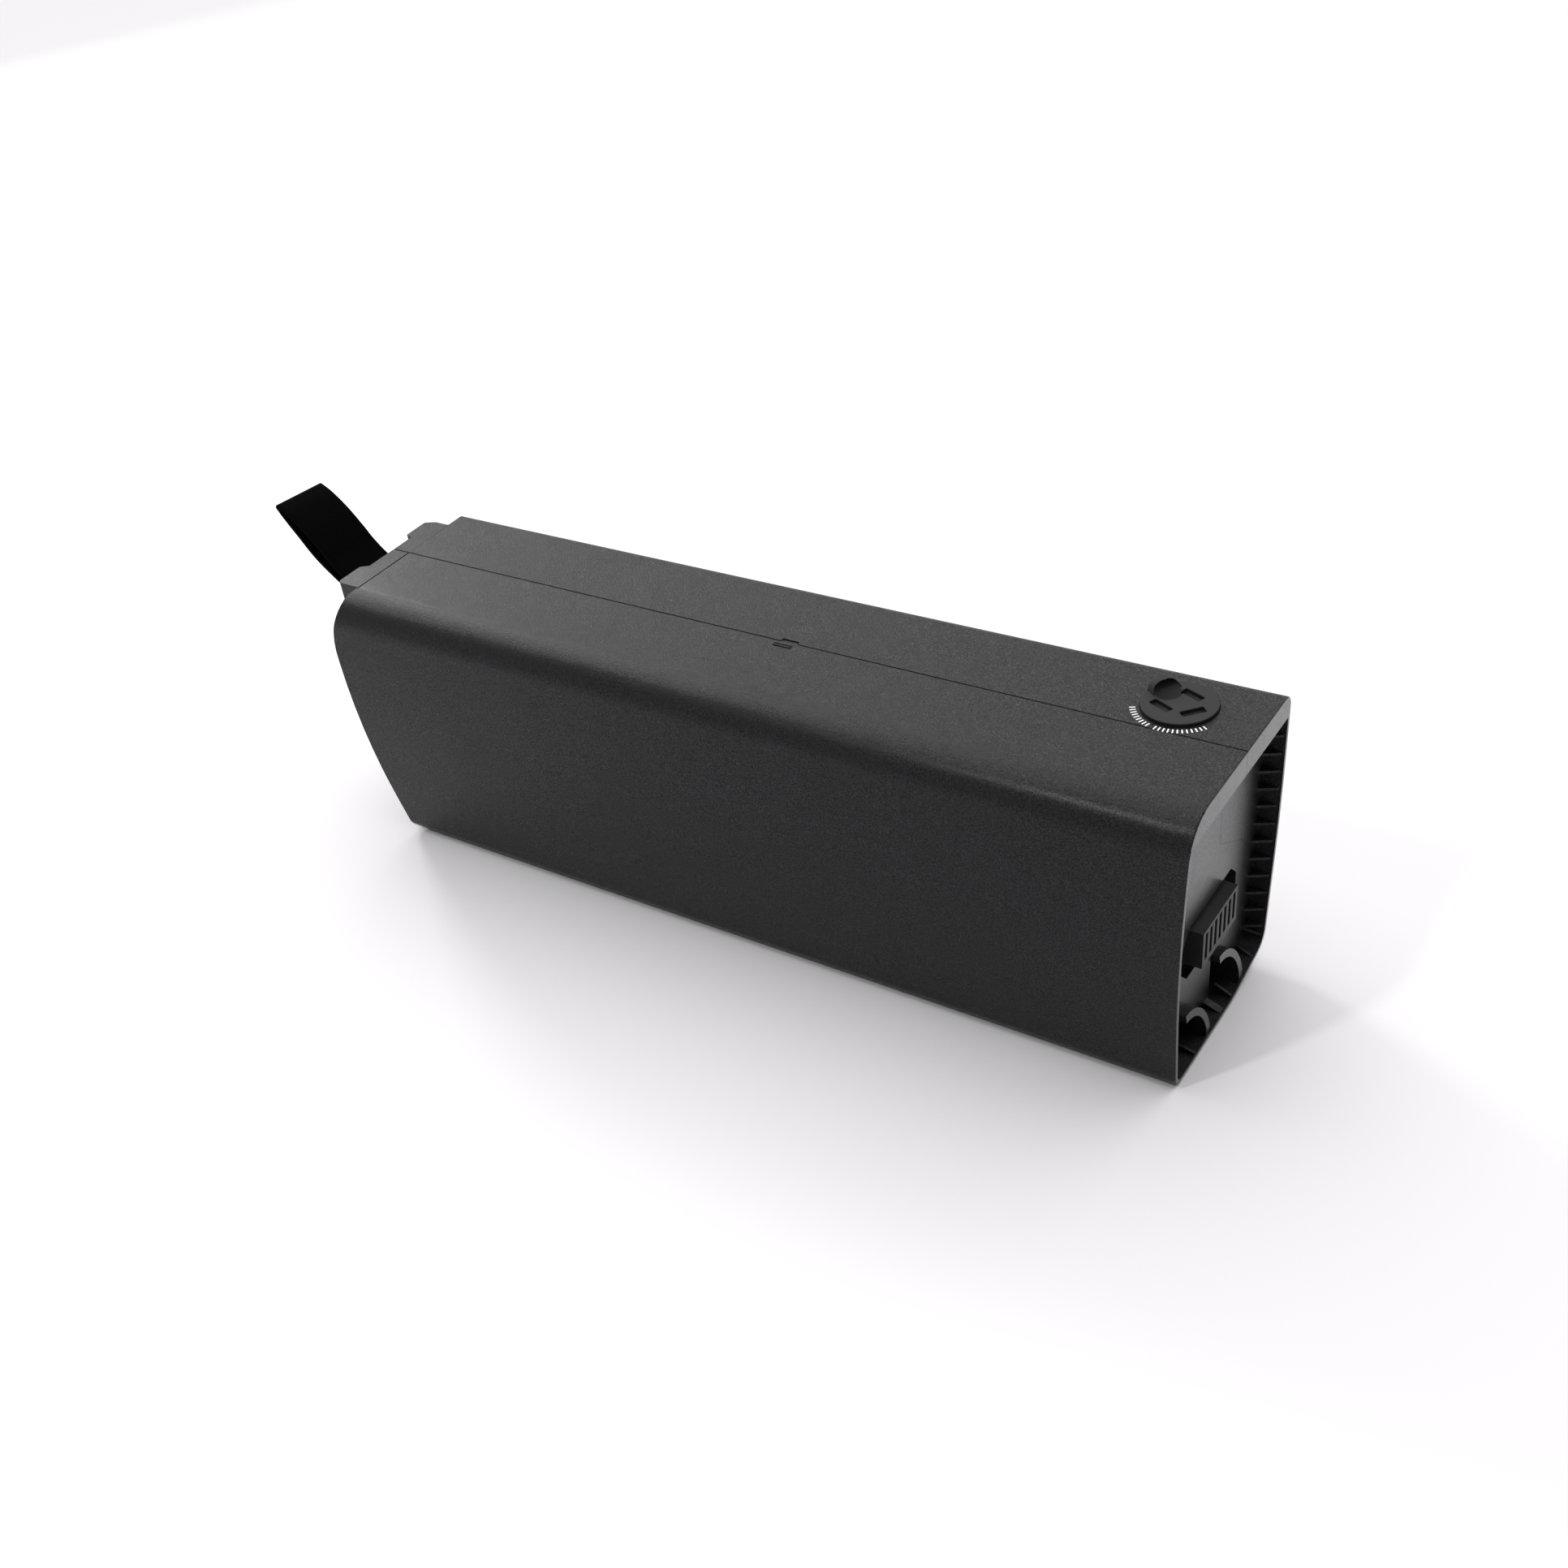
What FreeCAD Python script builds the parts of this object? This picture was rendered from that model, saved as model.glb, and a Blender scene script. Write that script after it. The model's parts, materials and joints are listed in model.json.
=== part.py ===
import FreeCAD, Part
import math
import os

# Slide-in battery pack for an electric bicycle, in millimetres.
# +X runs along the pack to its connector end, -Y is the bulged side, +Y the charge-port side, +Z up.
# The origin is on the flat of the underside, halfway along the case.

# ---- driving dimensions ----
CASE_LENGTH = 360.0
CASE_HEIGHT = 108.0
WALL = 2.5
SKIRT_WALL = 1.8
SKIRT_DEPTH = 7.0
BAND_HEIGHT = 9.2
RIM_ROUND = 0.5
SEAM_GAP = 0.16
FIT_GAP = 0.15

CELL_RADIUS = 9.1
CELL_LENGTH = 65.0
CELL_COLUMNS = 13
CELL_ROWS = 4
CELL_PITCH = 19.4

STRAP_WIDTH = 25.5
STRAP_THICKNESS = 1.6
PORT_RADIUS = 12.9

# ---- sizes that follow ----
RIM_X = CASE_LENGTH / 2
TAIL_X = -CASE_LENGTH / 2
PANEL_X = RIM_X - SKIRT_DEPTH
CAVITY_X = PANEL_X - WALL
TOP_IN = CASE_HEIGHT - WALL
FAR = 400.0
SIDE = 60.0

# Cross-section corners, Y, Z and corner radius, anticlockwise from the bulged side's top.
SECTION = [
    (-37.5, CASE_HEIGHT, 15.0),
    (-44.6, 55.0, 350.0),
    (-41.0, 0.0, 5.5),
    (8.0, 0.0, 25.0),
    (36.8, 5.8, 9.0),
    (42.6, 62.0, 500.0),
    (43.1, CASE_HEIGHT, 5.2),
]

# Side view of the leaning tail end, X, Z and corner radius, then a box well past the rim.
TAIL = [
    (TAIL_X + 0.4, CASE_HEIGHT, 3.0),
    (TAIL_X - 5.2, 90.0, 30.0),
    (TAIL_X + 2.2, 42.0, 700.0),
    (TAIL_X + 13.0, 1.7, 3.0),
    (TAIL_X + 28.0, 0.0, 20.0),
    (RIM_X, 0.0, 0.0),
    (RIM_X, CASE_HEIGHT, 0.0),
]

# Parting line between the halves, seen along X.
SEAM_Y = 5.5
SEAM_LOW_Y = 28.5
SEAM_CORNERS = [
    (SEAM_Y, 130.0, 0.0),
    (SEAM_Y, 69.2, 2.0),
    (SEAM_LOW_Y, 55.5, 6.0),
    (SEAM_LOW_Y, -20.0, 0.0),
]

# Moulding marks beside the parting line on top.
GROOVE_WIDTH = 0.9
GROOVE_DEPTH = 0.5
GATE_X = 6.0
GATE_LENGTH = 7.0
GATE_WIDTH = 1.7

# Strap block on the tail, its hinge pin and the webbing loop.
BLOCK_Y = (-25.2, 31.0)
BLOCK_BACK_X = TAIL_X + 2.0
BLOCK_TAB_X = TAIL_X - 10.0
BLOCK_LIP_X = TAIL_X - 6.5
BLOCK_BOTTOM = 62.0
STRAP_Y = 3.0
STRAP_PIN = (TAIL_X - 4.5, 82.0)
STRAP_PIN_RADIUS = 2.0

# Charge port and its plug.
PORT = (150.9, 21.2)
PORT_STEP = 1.5
WELL_RADIUS = 8.1
WELL_FLOOR = 84.0
SOCKET_BOTTOM = 80.0
CAP_HEIGHT = 2.7
CAP_POCKETS = [(-4.8, -3.9, -25.0), (1.9, 5.8, -22.0), (5.9, -3.3, 46.0)]
TAB_TURN = 144.0
TAB_RADIUS = 5.8
TAB_RISE = 4.0

# Discharge connector in the end panel.
PLUGBLOCK_Y = (-16.5, 12.5)
PLUGBLOCK_Z = (33.7, 48.7)
PLUGBLOCK_FRONT = PANEL_X + 4.5
SLOT_COUNT = 7
SLOT_WIDTH = 2.0
FLANGE_X = CAVITY_X - 3.4
CONNECTOR_BACK = 162.0
CONNECTOR_SCREW_Y = (-28.5, 25.2)
CONNECTOR_SCREW_Z = 40.0

# Guide pockets under the connector.
POCKET_RADIUS = 12.8
POCKET_WALL = 2.8
CUP_WALL = 1.2
POCKET_CENTRES = [(-26.0, 4.0), (3.3, 7.3)]
POCKET_DEPTH = 12.0

# Webs inside the skirt. The floor webs are start in Y, thickness and height.
SIDE_WEBS = 12
SIDE_WEB_FIRST = 13.0
SIDE_WEB_PITCH = 7.07
SIDE_WEB_DEPTH = 3.6
WEB_THICKNESS = 1.0
FLOOR_WEBS = [(-23.6, 1.0, 1.6), (-1.3, 3.0, 2.6), (8.4, 1.0, 3.4), (27.0, 1.0, 2.8)]
CORNER_WEB = (37.3, 6.4)
NIB_COUNT = 9
NIB_FIRST = 12.0
NIB_PITCH = 9.0
NIB_HEIGHT = 0.8

# Screw bosses, X and Z, and the Y of the joint face between the two halves there.
BOSSES = [
    (-150.0, 97.0, SEAM_Y), (-55.0, 97.0, SEAM_Y), (40.0, 97.0, SEAM_Y), (128.0, 97.0, SEAM_Y),
    (-158.0, 18.0, SEAM_LOW_Y), (124.0, 12.0, SEAM_LOW_Y),
]
BOSS_RADIUS = 3.6
SCREW_RADIUS = 1.5
SCREW_LENGTH = 14.0
HEAD_RADIUS = 2.8
SEAT_Y = 36.0
SHORT_SEAT = 8.0

# Cell block, its holders and what lies on top of it.
CELLS_Y = -2.0
FIRST_CELL = (-142.0, 20.0)
HOLDER_DEPTH = 8.0
HOLDER_LIP = 0.8
ON_CELLS = FIRST_CELL[1] + CELL_PITCH * (CELL_ROWS - 0.5) + 0.6
FUSE_X = (66.0, 90.0)

# Battery management board, standing across the case.
BOARD_X = 108.0
BOARD_THICKNESS = 1.6
BOARD_FRONT = BOARD_X + BOARD_THICKNESS

# Internal wires: their radii and the points of their routes.
POWER_WIRE = 1.8
CHARGE_WIRE = 1.1
LEAD_Z = ON_CELLS + 4.4
POSITIVE_ROUTE = [(FUSE_X[1] + 0.05, -16, LEAD_Z), (110, -16, LEAD_Z), (126, -16, 84), (134, -15, 68),
                  (141, -13, 53), (150, -12, 41.2), (CONNECTOR_BACK - 0.05, -12, 41.2)]
NEGATIVE_ROUTE = [(BOARD_FRONT + 0.05, 5, 22.5), (125, 5, 22.5), (140, 4, 34), (150, 3, 41.2),
                  (CONNECTOR_BACK - 0.05, 3, 41.2)]
CHARGE_ROUTES = [[(PORT[0] + s, PORT[1], SOCKET_BOTTOM - 0.05), (PORT[0] + s, PORT[1], 66),
                  (PORT[0] + s - 10, PORT[1] - 2, 50), (BOARD_FRONT + 14, PORT[1] - 2 + s, 39.5),
                  (BOARD_FRONT + 0.05, PORT[1] - 2 + s, 39.5)] for s in (-3.0, 3.0)]


def save(name, shape):
    shape.exportStep("parts/" + name + ".step")
    print(name, len(shape.Solids), round(shape.Volume / 1000, 2), shape.isValid())


def box(x0, x1, y0, y1, z0, z1):
    return Part.makeBox(x1 - x0, y1 - y0, z1 - z0, FreeCAD.Vector(x0, y0, z0))


def rod(start, direction, radius, length):
    return Part.makeCylinder(radius, length, FreeCAD.Vector(*start), FreeCAD.Vector(*direction))


def group(shapes):
    return Part.makeCompound(shapes)


def on_x(x):
    """Place a Y, Z drawing on the plane at x."""
    return lambda u, v: FreeCAD.Vector(x, u, v)


def on_y(y):
    """Place an X, Z drawing on the plane at y."""
    return lambda u, v: FreeCAD.Vector(u, y, v)


def on_z(z):
    """Place an X, Y drawing on the plane at z."""
    return lambda u, v: FreeCAD.Vector(u, v, z)


def corner_arc(before, corner, after, radius):
    """The start, middle and end of the arc that rounds a corner."""
    here = FreeCAD.Vector(corner[0], corner[1], 0)
    back = FreeCAD.Vector(before[0], before[1], 0).sub(here).normalize()
    ahead = FreeCAD.Vector(after[0], after[1], 0).sub(here).normalize()
    half = back.getAngle(ahead) / 2
    run = radius / math.tan(half)
    inward = back.add(ahead).normalize()
    centre = here.add(inward * (radius / math.sin(half)))
    return here.add(back * run), centre.sub(inward * radius), here.add(ahead * run)


def outline(corners, place, closed=True):
    """Wire through rounded corners, each given as u, v and radius."""
    count = len(corners)
    stops = []
    for i, (u, v, radius) in enumerate(corners):
        inside = closed or 0 < i < count - 1
        if radius > 0 and inside:
            stops.append(corner_arc(corners[i - 1], (u, v), corners[(i + 1) % count], radius))
        else:
            stops.append((FreeCAD.Vector(u, v, 0),))
    edges = []
    for i, stop in enumerate(stops):
        points = [place(p.x, p.y) for p in stop]
        if len(points) == 3:
            edges.append(Part.Arc(*points).toShape())
        if closed or i < count - 1:
            following = stops[(i + 1) % count][0]
            start = points[-1]
            end = place(following.x, following.y)
            if start.distanceToPoint(end) > 1e-6:
                edges.append(Part.LineSegment(start, end).toShape())
    return Part.Wire(Part.__sortEdges__(edges))


def plate(corners, place, along):
    """Solid made by moving a rounded outline along a vector."""
    return Part.Face(outline(corners, place)).extrude(FreeCAD.Vector(*along))


def section_prism(x0, x1, inset):
    """The case's cross-section, drawn in by inset, from x0 to x1."""
    face = Part.Face(outline(SECTION, on_x(x0)))
    if inset > 0:
        face = face.makeOffset2D(-inset)
    return face.extrude(FreeCAD.Vector(x1 - x0, 0, 0))


def tail_prism(inset):
    """Everything forward of the tail's leaning end, drawn in by inset."""
    face = Part.Face(outline(TAIL, on_y(-60)))
    if inset > 0:
        face = face.makeOffset2D(-inset)
    return face.extrude(FreeCAD.Vector(0, 120, 0))


def far_side(shift):
    """Everything on the charge-port side of the parting line, which is moved by shift."""
    corners = [(u + shift, v, r) for u, v, r in SEAM_CORNERS]
    corners += [(90.0, -20.0, 0.0), (90.0, 130.0, 0.0)]
    return plate(corners, on_x(-FAR), (2 * FAR, 0, 0))


def block_pocket(gap):
    """Space that the strap block takes out of the tail."""
    return box(-FAR, BLOCK_BACK_X + gap, BLOCK_Y[0] - gap, BLOCK_Y[1] + gap, BLOCK_BOTTOM - gap, FAR)


def cavity(inset):
    """The case's inside, inset from every outer face."""
    hollow = section_prism(TAIL_X - 20, PANEL_X - inset, inset).common(tail_prism(inset))
    return hollow.cut(block_pocket(inset))


def recess():
    """Hollow inside the skirt at the connector end, under the flat band."""
    hollow = section_prism(PANEL_X, RIM_X + 5, SKIRT_WALL)
    return hollow.cut(box(PANEL_X - 1, RIM_X + 6, -60, 60, CASE_HEIGHT - BAND_HEIGHT, FAR))


def half_round(centre, radius, x0, x1):
    """The charge-port half of a round bar that runs along X."""
    bar = rod((x0, centre[0], centre[1]), (1, 0, 0), radius, x1 - x0)
    return bar.common(box(x0, x1, centre[0], centre[0] + FAR, -FAR, FAR))


def pocket_cups():
    """Walls of the two guide pockets behind the end panel, and the hooked ribs in front of it."""
    rake = [(PANEL_X - 1, -5, 0), (RIM_X - 0.6, -5, 0), (RIM_X - 0.6, 3, 0), (PANEL_X + 3.2, 22, 0),
            (PANEL_X + 3.0, 30, 0), (PANEL_X - 1, 30, 0)]
    front = plate(rake, on_y(-60), (0, 120, 0))
    cups = []
    for centre in POCKET_CENTRES:
        y, z = centre
        back = PANEL_X - POCKET_DEPTH - CUP_WALL
        cup = half_round(centre, POCKET_RADIUS + CUP_WALL, back, PANEL_X)
        side = box(back, PANEL_X, y - CUP_WALL, y + 1, 0, z + POCKET_RADIUS + CUP_WALL)
        hook = half_round(centre, POCKET_RADIUS + POCKET_WALL, PANEL_X, RIM_X)
        hook = hook.cut(half_round(centre, POCKET_RADIUS, PANEL_X - 1, RIM_X + 1))
        cups += [cup, side, hook.common(front)]
    return cups


def pocket_hollows():
    return [half_round(c, POCKET_RADIUS, PANEL_X - POCKET_DEPTH, RIM_X + 5) for c in POCKET_CENTRES]


def wall_y(low, high, z):
    """Y of a straight stretch of the cross-section's side at height z."""
    return low[0] + (high[0] - low[0]) * (z - low[1]) / (high[1] - low[1])


def port_wall_y(z):
    """Outer face of the charge-port side at height z."""
    if z < SECTION[5][1]:
        return wall_y(SECTION[4], SECTION[5], z)
    return wall_y(SECTION[5], SECTION[6], z)


def bulged_wall_y(z):
    """Outer face of the bulged side at height z."""
    if z < SECTION[1][1]:
        return wall_y(SECTION[2], SECTION[1], z)
    return wall_y(SECTION[1], SECTION[0], z)


def skirt_webs():
    """Webs that taper from the end panel to the rim, and small nibs on the bulged side."""
    lip = RIM_X - 0.5
    webs = []
    for i in range(SIDE_WEBS):
        z = SIDE_WEB_FIRST + SIDE_WEB_PITCH * i
        face = port_wall_y(z) - SKIRT_WALL
        corners = [(PANEL_X, face - SIDE_WEB_DEPTH, 0), (PANEL_X, face + 1, 0),
                   (lip, face + 1, 0), (lip, face, 0)]
        webs.append(plate(corners, on_z(z), (0, 0, WEB_THICKNESS)))
    for y, thick, height in FLOOR_WEBS:
        floor = SKIRT_WALL + max(0.0, (y - 8) * 0.2)
        corners = [(PANEL_X, 0, 0), (PANEL_X, floor + height, 0), (lip, floor, 0), (lip, 0, 0)]
        webs.append(plate(corners, on_y(y), (0, thick, 0)))
    y, z = CORNER_WEB
    slant = [(PANEL_X, 0, 0), (PANEL_X, 7.6, 0), (lip, 4.4, 0), (lip, 0, 0)]
    webs.append(plate(slant, lambda u, v: FreeCAD.Vector(u, y - 0.66 * v, z + 0.75 * v), (0, 0.75, 0.66)))
    for i in range(NIB_COUNT):
        z = NIB_FIRST + NIB_PITCH * i
        face = bulged_wall_y(z) + SKIRT_WALL
        webs.append(box(PANEL_X, RIM_X - 1.5, face - 1, face + NIB_HEIGHT, z, z + WEB_THICKNESS))
    return webs


def connector_opening(x0, x1, grow):
    """Long hole with cut corners that the discharge connector shows through."""
    y0, y1 = -23.0 - grow, 22.2 + grow
    z0, z1 = 28.8 - grow, 50.6 + grow
    corners = [
        (y0, z0 + 5, 1), (y0, z1 - 6, 1), (y0 + 6.5, z1, 1), (y1 - 5, z1, 1),
        (y1, z1 - 5, 1), (y1, z0 + 5, 1), (y1 - 5, z0, 1), (y0 + 5, z0, 1),
    ]
    return plate(corners, on_x(x0), (x1 - x0, 0, 0))


def bosses(side):
    """Screw columns of one half, from its wall to the joint face."""
    columns = []
    for x, z, y in BOSSES:
        if side == "near":
            columns.append(rod((x, -50, z), (0, 1, 0), BOSS_RADIUS, 50 + y - SEAM_GAP))
        else:
            columns.append(rod((x, y, z), (0, 1, 0), BOSS_RADIUS, 50 - y))
    return columns


def screw_axis(x, z, y):
    """Where a case screw's head sits and how long its shank is."""
    seat = SEAT_Y if y > SEAM_Y else y + SHORT_SEAT
    return seat, SCREW_LENGTH


def outer_block():
    """The case before it is hollowed, with its rim rounded."""
    block = section_prism(TAIL_X - 20, RIM_X, 0).common(tail_prism(0))
    return block.makeFillet(RIM_ROUND, [e for e in block.Edges if e.BoundBox.XMin > RIM_X - 0.01])


def seam_groove():
    """V-shaped line along the parting line on top."""
    half = GROOVE_WIDTH / 2
    corners = [(SEAM_Y - half, CASE_HEIGHT + 0.2, 0), (SEAM_Y, CASE_HEIGHT - GROOVE_DEPTH, 0),
               (SEAM_Y + half, CASE_HEIGHT + 0.2, 0)]
    return plate(corners, on_x(-FAR), (2 * FAR, 0, 0))


def block_groove():
    """V-shaped line across the bulged side's half, where the strap block meets the case."""
    half = GROOVE_WIDTH / 2
    corners = [(BLOCK_BACK_X - half, CASE_HEIGHT + 0.2, 0), (BLOCK_BACK_X, CASE_HEIGHT - GROOVE_DEPTH, 0),
               (BLOCK_BACK_X + half, CASE_HEIGHT + 0.2, 0)]
    return plate(corners, on_y(BLOCK_Y[0] - 1), (0, SEAM_Y - BLOCK_Y[0] + 1, 0))


def whole_case():
    """Both halves in one: hollowed, ribbed and cut open."""
    inner = section_prism(TAIL_X, RIM_X, 0.8).common(tail_prism(0.8))
    body = outer_block().cut(cavity(WALL)).cut([recess(), block_pocket(0.1)])
    body = body.fuse([cup.common(inner) for cup in pocket_cups()])
    body = body.cut([hollow.common(inner) for hollow in pocket_hollows()])
    body = body.fuse([web.common(inner) for web in skirt_webs()])
    port = rod((PORT[0], PORT[1], CASE_HEIGHT - PORT_STEP), (0, 0, 1), PORT_RADIUS, 9)
    neck = rod((PORT[0], PORT[1], 90), (0, 0, 1), 10.0, 30)
    body = body.cut([connector_opening(CAVITY_X - 1, PANEL_X + 1, 0), port, neck])
    gate = box(GATE_X, GATE_X + GATE_LENGTH, SEAM_Y, SEAM_Y + GATE_WIDTH, CASE_HEIGHT - 0.4, CASE_HEIGHT + 1)
    body = body.cut([seam_groove(), block_groove(), gate] + screw_holes(block_screw_spots(), 1.3))
    ridges = [box(GATE_X - 1.5, GATE_X + 6, y, y + 0.6, CASE_HEIGHT - 1, CASE_HEIGHT + 0.3)
              for y in (SEAM_Y - 2.2, SEAM_Y - 3.4)]
    return body.fuse(ridges)


def shell_halves():
    """The two moulded halves of the case."""
    body = whole_case()
    inside = cavity(1.0)
    near = body.cut(far_side(-SEAM_GAP)).fuse([c.common(inside) for c in bosses("near")])
    near = near.cut([rod((CAVITY_X - 1, y, CONNECTOR_SCREW_Z), (1, 0, 0), 1.15, 3.1)
                     for y in CONNECTOR_SCREW_Y])
    far = body.common(far_side(0)).fuse([c.common(inside) for c in bosses("far")])
    for x, z, y in BOSSES:
        seat, length = screw_axis(x, z, y)
        far = far.cut([rod((x, y - 1, z), (0, 1, 0), SCREW_RADIUS + 0.2, SIDE),
                       rod((x, seat, z), (0, 1, 0), HEAD_RADIUS + 0.4, SIDE)])
        near = near.cut(rod((x, seat - length - 0.5, z), (0, 1, 0), SCREW_RADIUS, length))
    return near, far


def shell_seal():
    """Rubber cord squeezed along the parting line, just inside the wall."""
    ring = cavity(WALL + 0.05).cut(cavity(WALL + 1.65))
    strip = far_side(-0.9).cut(far_side(0.8))
    seal = ring.common(strip)
    clear = [rod((x, -60, z), (0, 1, 0), BOSS_RADIUS + 0.2, 120) for x, z, y in BOSSES]
    neck = rod((PORT[0], PORT[1], 70), (0, 0, 1), 13.5, 60)
    return seal.cut(clear + [neck])


def case_screw(x, z, y):
    seat, length = screw_axis(x, z, y)
    head = rod((x, seat + 0.02, z), (0, 1, 0), HEAD_RADIUS, 2.4)
    shank = rod((x, seat - length + 0.5, z), (0, 1, 0), SCREW_RADIUS - 0.05, length)
    socket = rod((x, seat + 1.2, z), (0, 1, 0), 1.2, 3)
    return head.fuse(shank).cut(socket)


def block_screw_spots():
    """Y and Z of the two screws that hold the strap block to the tail."""
    return [(-18.0, 92.0), (23.8, 92.0)]


def screw_holes(spots, radius):
    return [rod((BLOCK_BACK_X - 20, y, z), (1, 0, 0), radius, 23.5) for y, z in spots]


def strap_block():
    """End block with two tabs and a roofed hollow that the strap swings in."""
    y0, y1 = BLOCK_Y
    top = [
        (BLOCK_BACK_X, y0, 0), (BLOCK_TAB_X + 1, y0, 0.8), (BLOCK_TAB_X, y0 + 2, 0.8),
        (BLOCK_TAB_X, y0 + 13.4, 0.8), (BLOCK_LIP_X, y0 + 15.6, 0.8),
        (BLOCK_LIP_X, y1 - 14.6, 0), (BLOCK_TAB_X, y1 - 13.6, 0.4),
        (BLOCK_TAB_X, y1 - 2.2, 1.5), (BLOCK_TAB_X + 4.5, y1, 2.0), (BLOCK_BACK_X, y1, 0),
    ]
    block = plate(top, on_z(BLOCK_BOTTOM), (0, 0, CASE_HEIGHT - BLOCK_BOTTOM))
    lean = [
        (BLOCK_BACK_X + 1, BLOCK_BOTTOM - 1, 0), (TAIL_X - 1.4, BLOCK_BOTTOM - 1, 0),
        (TAIL_X - 9.0, 92.0, 12.0), (BLOCK_TAB_X - 0.5, CASE_HEIGHT - 3, 4.0),
        (BLOCK_TAB_X - 0.5, CASE_HEIGHT + 1, 0), (BLOCK_BACK_X + 1, CASE_HEIGHT + 1, 0),
    ]
    block = block.common(plate(lean, on_y(-60), (0, 120, 0)))
    half = STRAP_WIDTH / 2 + 1.0
    hollow = box(BLOCK_TAB_X - 5, BLOCK_BACK_X - 2.0, STRAP_Y - half, STRAP_Y + half, BLOCK_BOTTOM - 5, 103.5)
    pin = rod((STRAP_PIN[0], STRAP_Y - 20, STRAP_PIN[1]), (0, 1, 0), STRAP_PIN_RADIUS + 0.03, 40)
    screws = screw_holes(block_screw_spots(), 1.7)
    heads = [rod((BLOCK_BACK_X - 20, y, z), (1, 0, 0), 3.0, 14) for y, z in block_screw_spots()]
    return block.cut([hollow, pin, seam_groove(), block_groove()] + screws + heads)


def strap_pin():
    return rod((STRAP_PIN[0], STRAP_Y - 19.8, STRAP_PIN[1]), (0, 1, 0), STRAP_PIN_RADIUS, 39.6)


def strap_screw(y, z):
    head = rod((BLOCK_BACK_X - 8.5, y, z), (1, 0, 0), 2.8, 2.4)
    shank = rod((BLOCK_BACK_X - 7, y, z), (1, 0, 0), 1.25, 10.0)
    socket = rod((BLOCK_BACK_X - 9, y, z), (1, 0, 0), 1.2, 1.7)
    return head.fuse(shank).cut(socket)


def strap():
    """Loop of webbing round the pin, folded flat at its free end."""
    x, z = STRAP_PIN
    eye = STRAP_PIN_RADIUS + 0.05 + STRAP_THICKNESS
    upper = [(-17.6, 16.0), (-24.6, 22.0), (-28.0, 26.4), (-35.2, 34.4), (-42.3, 40.4), (-48.0, 43.4)]
    lower = [(-49.6, 44.6), (-49.0, 42.0), (-46.9, 38.2), (-41.0, 30.6), (-34.5, 22.4), (-25.6, 14.8)]
    outer = [(x + u, z + v, 0) for u, v in [(-1.6, 3.0)] + upper + lower + [(-2.8, -2.0)]]
    loop = plate(outer, on_y(STRAP_Y - STRAP_WIDTH / 2), (0, STRAP_WIDTH, 0))
    root = rod((x, STRAP_Y - STRAP_WIDTH / 2, z), (0, 1, 0), eye, STRAP_WIDTH)
    bore = rod((x, STRAP_Y - STRAP_WIDTH, z), (0, 1, 0), STRAP_PIN_RADIUS + 0.05, 2 * STRAP_WIDTH)
    gap = [(-20.5, 14.8), (-27.2, 21.4), (-31.5, 26.5), (-38.6, 34.0), (-44.5, 38.6), (-42.2, 35.2),
           (-36.6, 27.6), (-30.2, 20.6), (-24.0, 15.4)]
    slot = [(x + u, z + v, 0) for u, v in gap]
    hole = plate(slot, on_y(STRAP_Y - STRAP_WIDTH), (0, 2 * STRAP_WIDTH, 0))
    return loop.fuse(root).cut([bore, hole]).removeSplitter()


def cell_spots():
    x0, z0 = FIRST_CELL
    return [(x0 + CELL_PITCH * i, z0 + CELL_PITCH * j) for i in range(CELL_COLUMNS) for j in range(CELL_ROWS)]


def cell(x, z):
    """One 18 by 65 mm cell with its raised contact."""
    can = rod((x, CELLS_Y - CELL_LENGTH / 2, z), (0, 1, 0), CELL_RADIUS, CELL_LENGTH - 0.6)
    cap = rod((x, CELLS_Y + CELL_LENGTH / 2 - 0.6, z), (0, 1, 0), 3.2, 0.6)
    return can.fuse(cap)


def holder_box(y0, y1):
    x0, z0 = FIRST_CELL
    edge = CELL_PITCH / 2 + 0.5
    return box(x0 - edge, x0 + CELL_PITCH * (CELL_COLUMNS - 1) + edge, y0, y1,
               z0 - edge, z0 + CELL_PITCH * (CELL_ROWS - 1) + edge)


def cell_holder(side):
    """Tray that grips one end of every cell and leaves its contact open."""
    end = CELLS_Y + side * (CELL_LENGTH / 2 + 0.05)
    back = end + side * HOLDER_LIP
    front = end - side * HOLDER_DEPTH
    tray = holder_box(min(back, front), max(back, front))
    wells = [rod((x, end, z), (0, -side, 0), CELL_RADIUS + 0.1, HOLDER_DEPTH + 1) for x, z in cell_spots()]
    windows = [rod((x, back + side, z), (0, -side, 0), 6.5, 3) for x, z in cell_spots()]
    return tray.cut(wells).cut(windows)


def nickel_strips(side):
    """Links that join each stack of cells and put the stacks in series."""
    y = CELLS_Y + side * (CELL_LENGTH / 2 + 0.05 + HOLDER_LIP + 0.02)
    x0, z0 = FIRST_CELL
    pairs = [(i, i + 1) for i in range(0 if side > 0 else 1, CELL_COLUMNS - 1, 2)]
    pairs += [(CELL_COLUMNS - 1, CELL_COLUMNS - 1)] if side > 0 else [(0, 0)]
    strips = []
    for first, last in pairs:
        low = x0 + CELL_PITCH * first - 6
        high = x0 + CELL_PITCH * last + 6
        strips.append(box(low, high, min(y, y + 0.2 * side), max(y, y + 0.2 * side),
                          z0 - 6, z0 + CELL_PITCH * (CELL_ROWS - 1) + 6))
    return group(strips)


def insulation_sheet(side):
    y = CELLS_Y + side * (CELL_LENGTH / 2 + 0.05 + HOLDER_LIP + 0.25)
    return holder_box(min(y, y + 0.5 * side), max(y, y + 0.5 * side))


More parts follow.
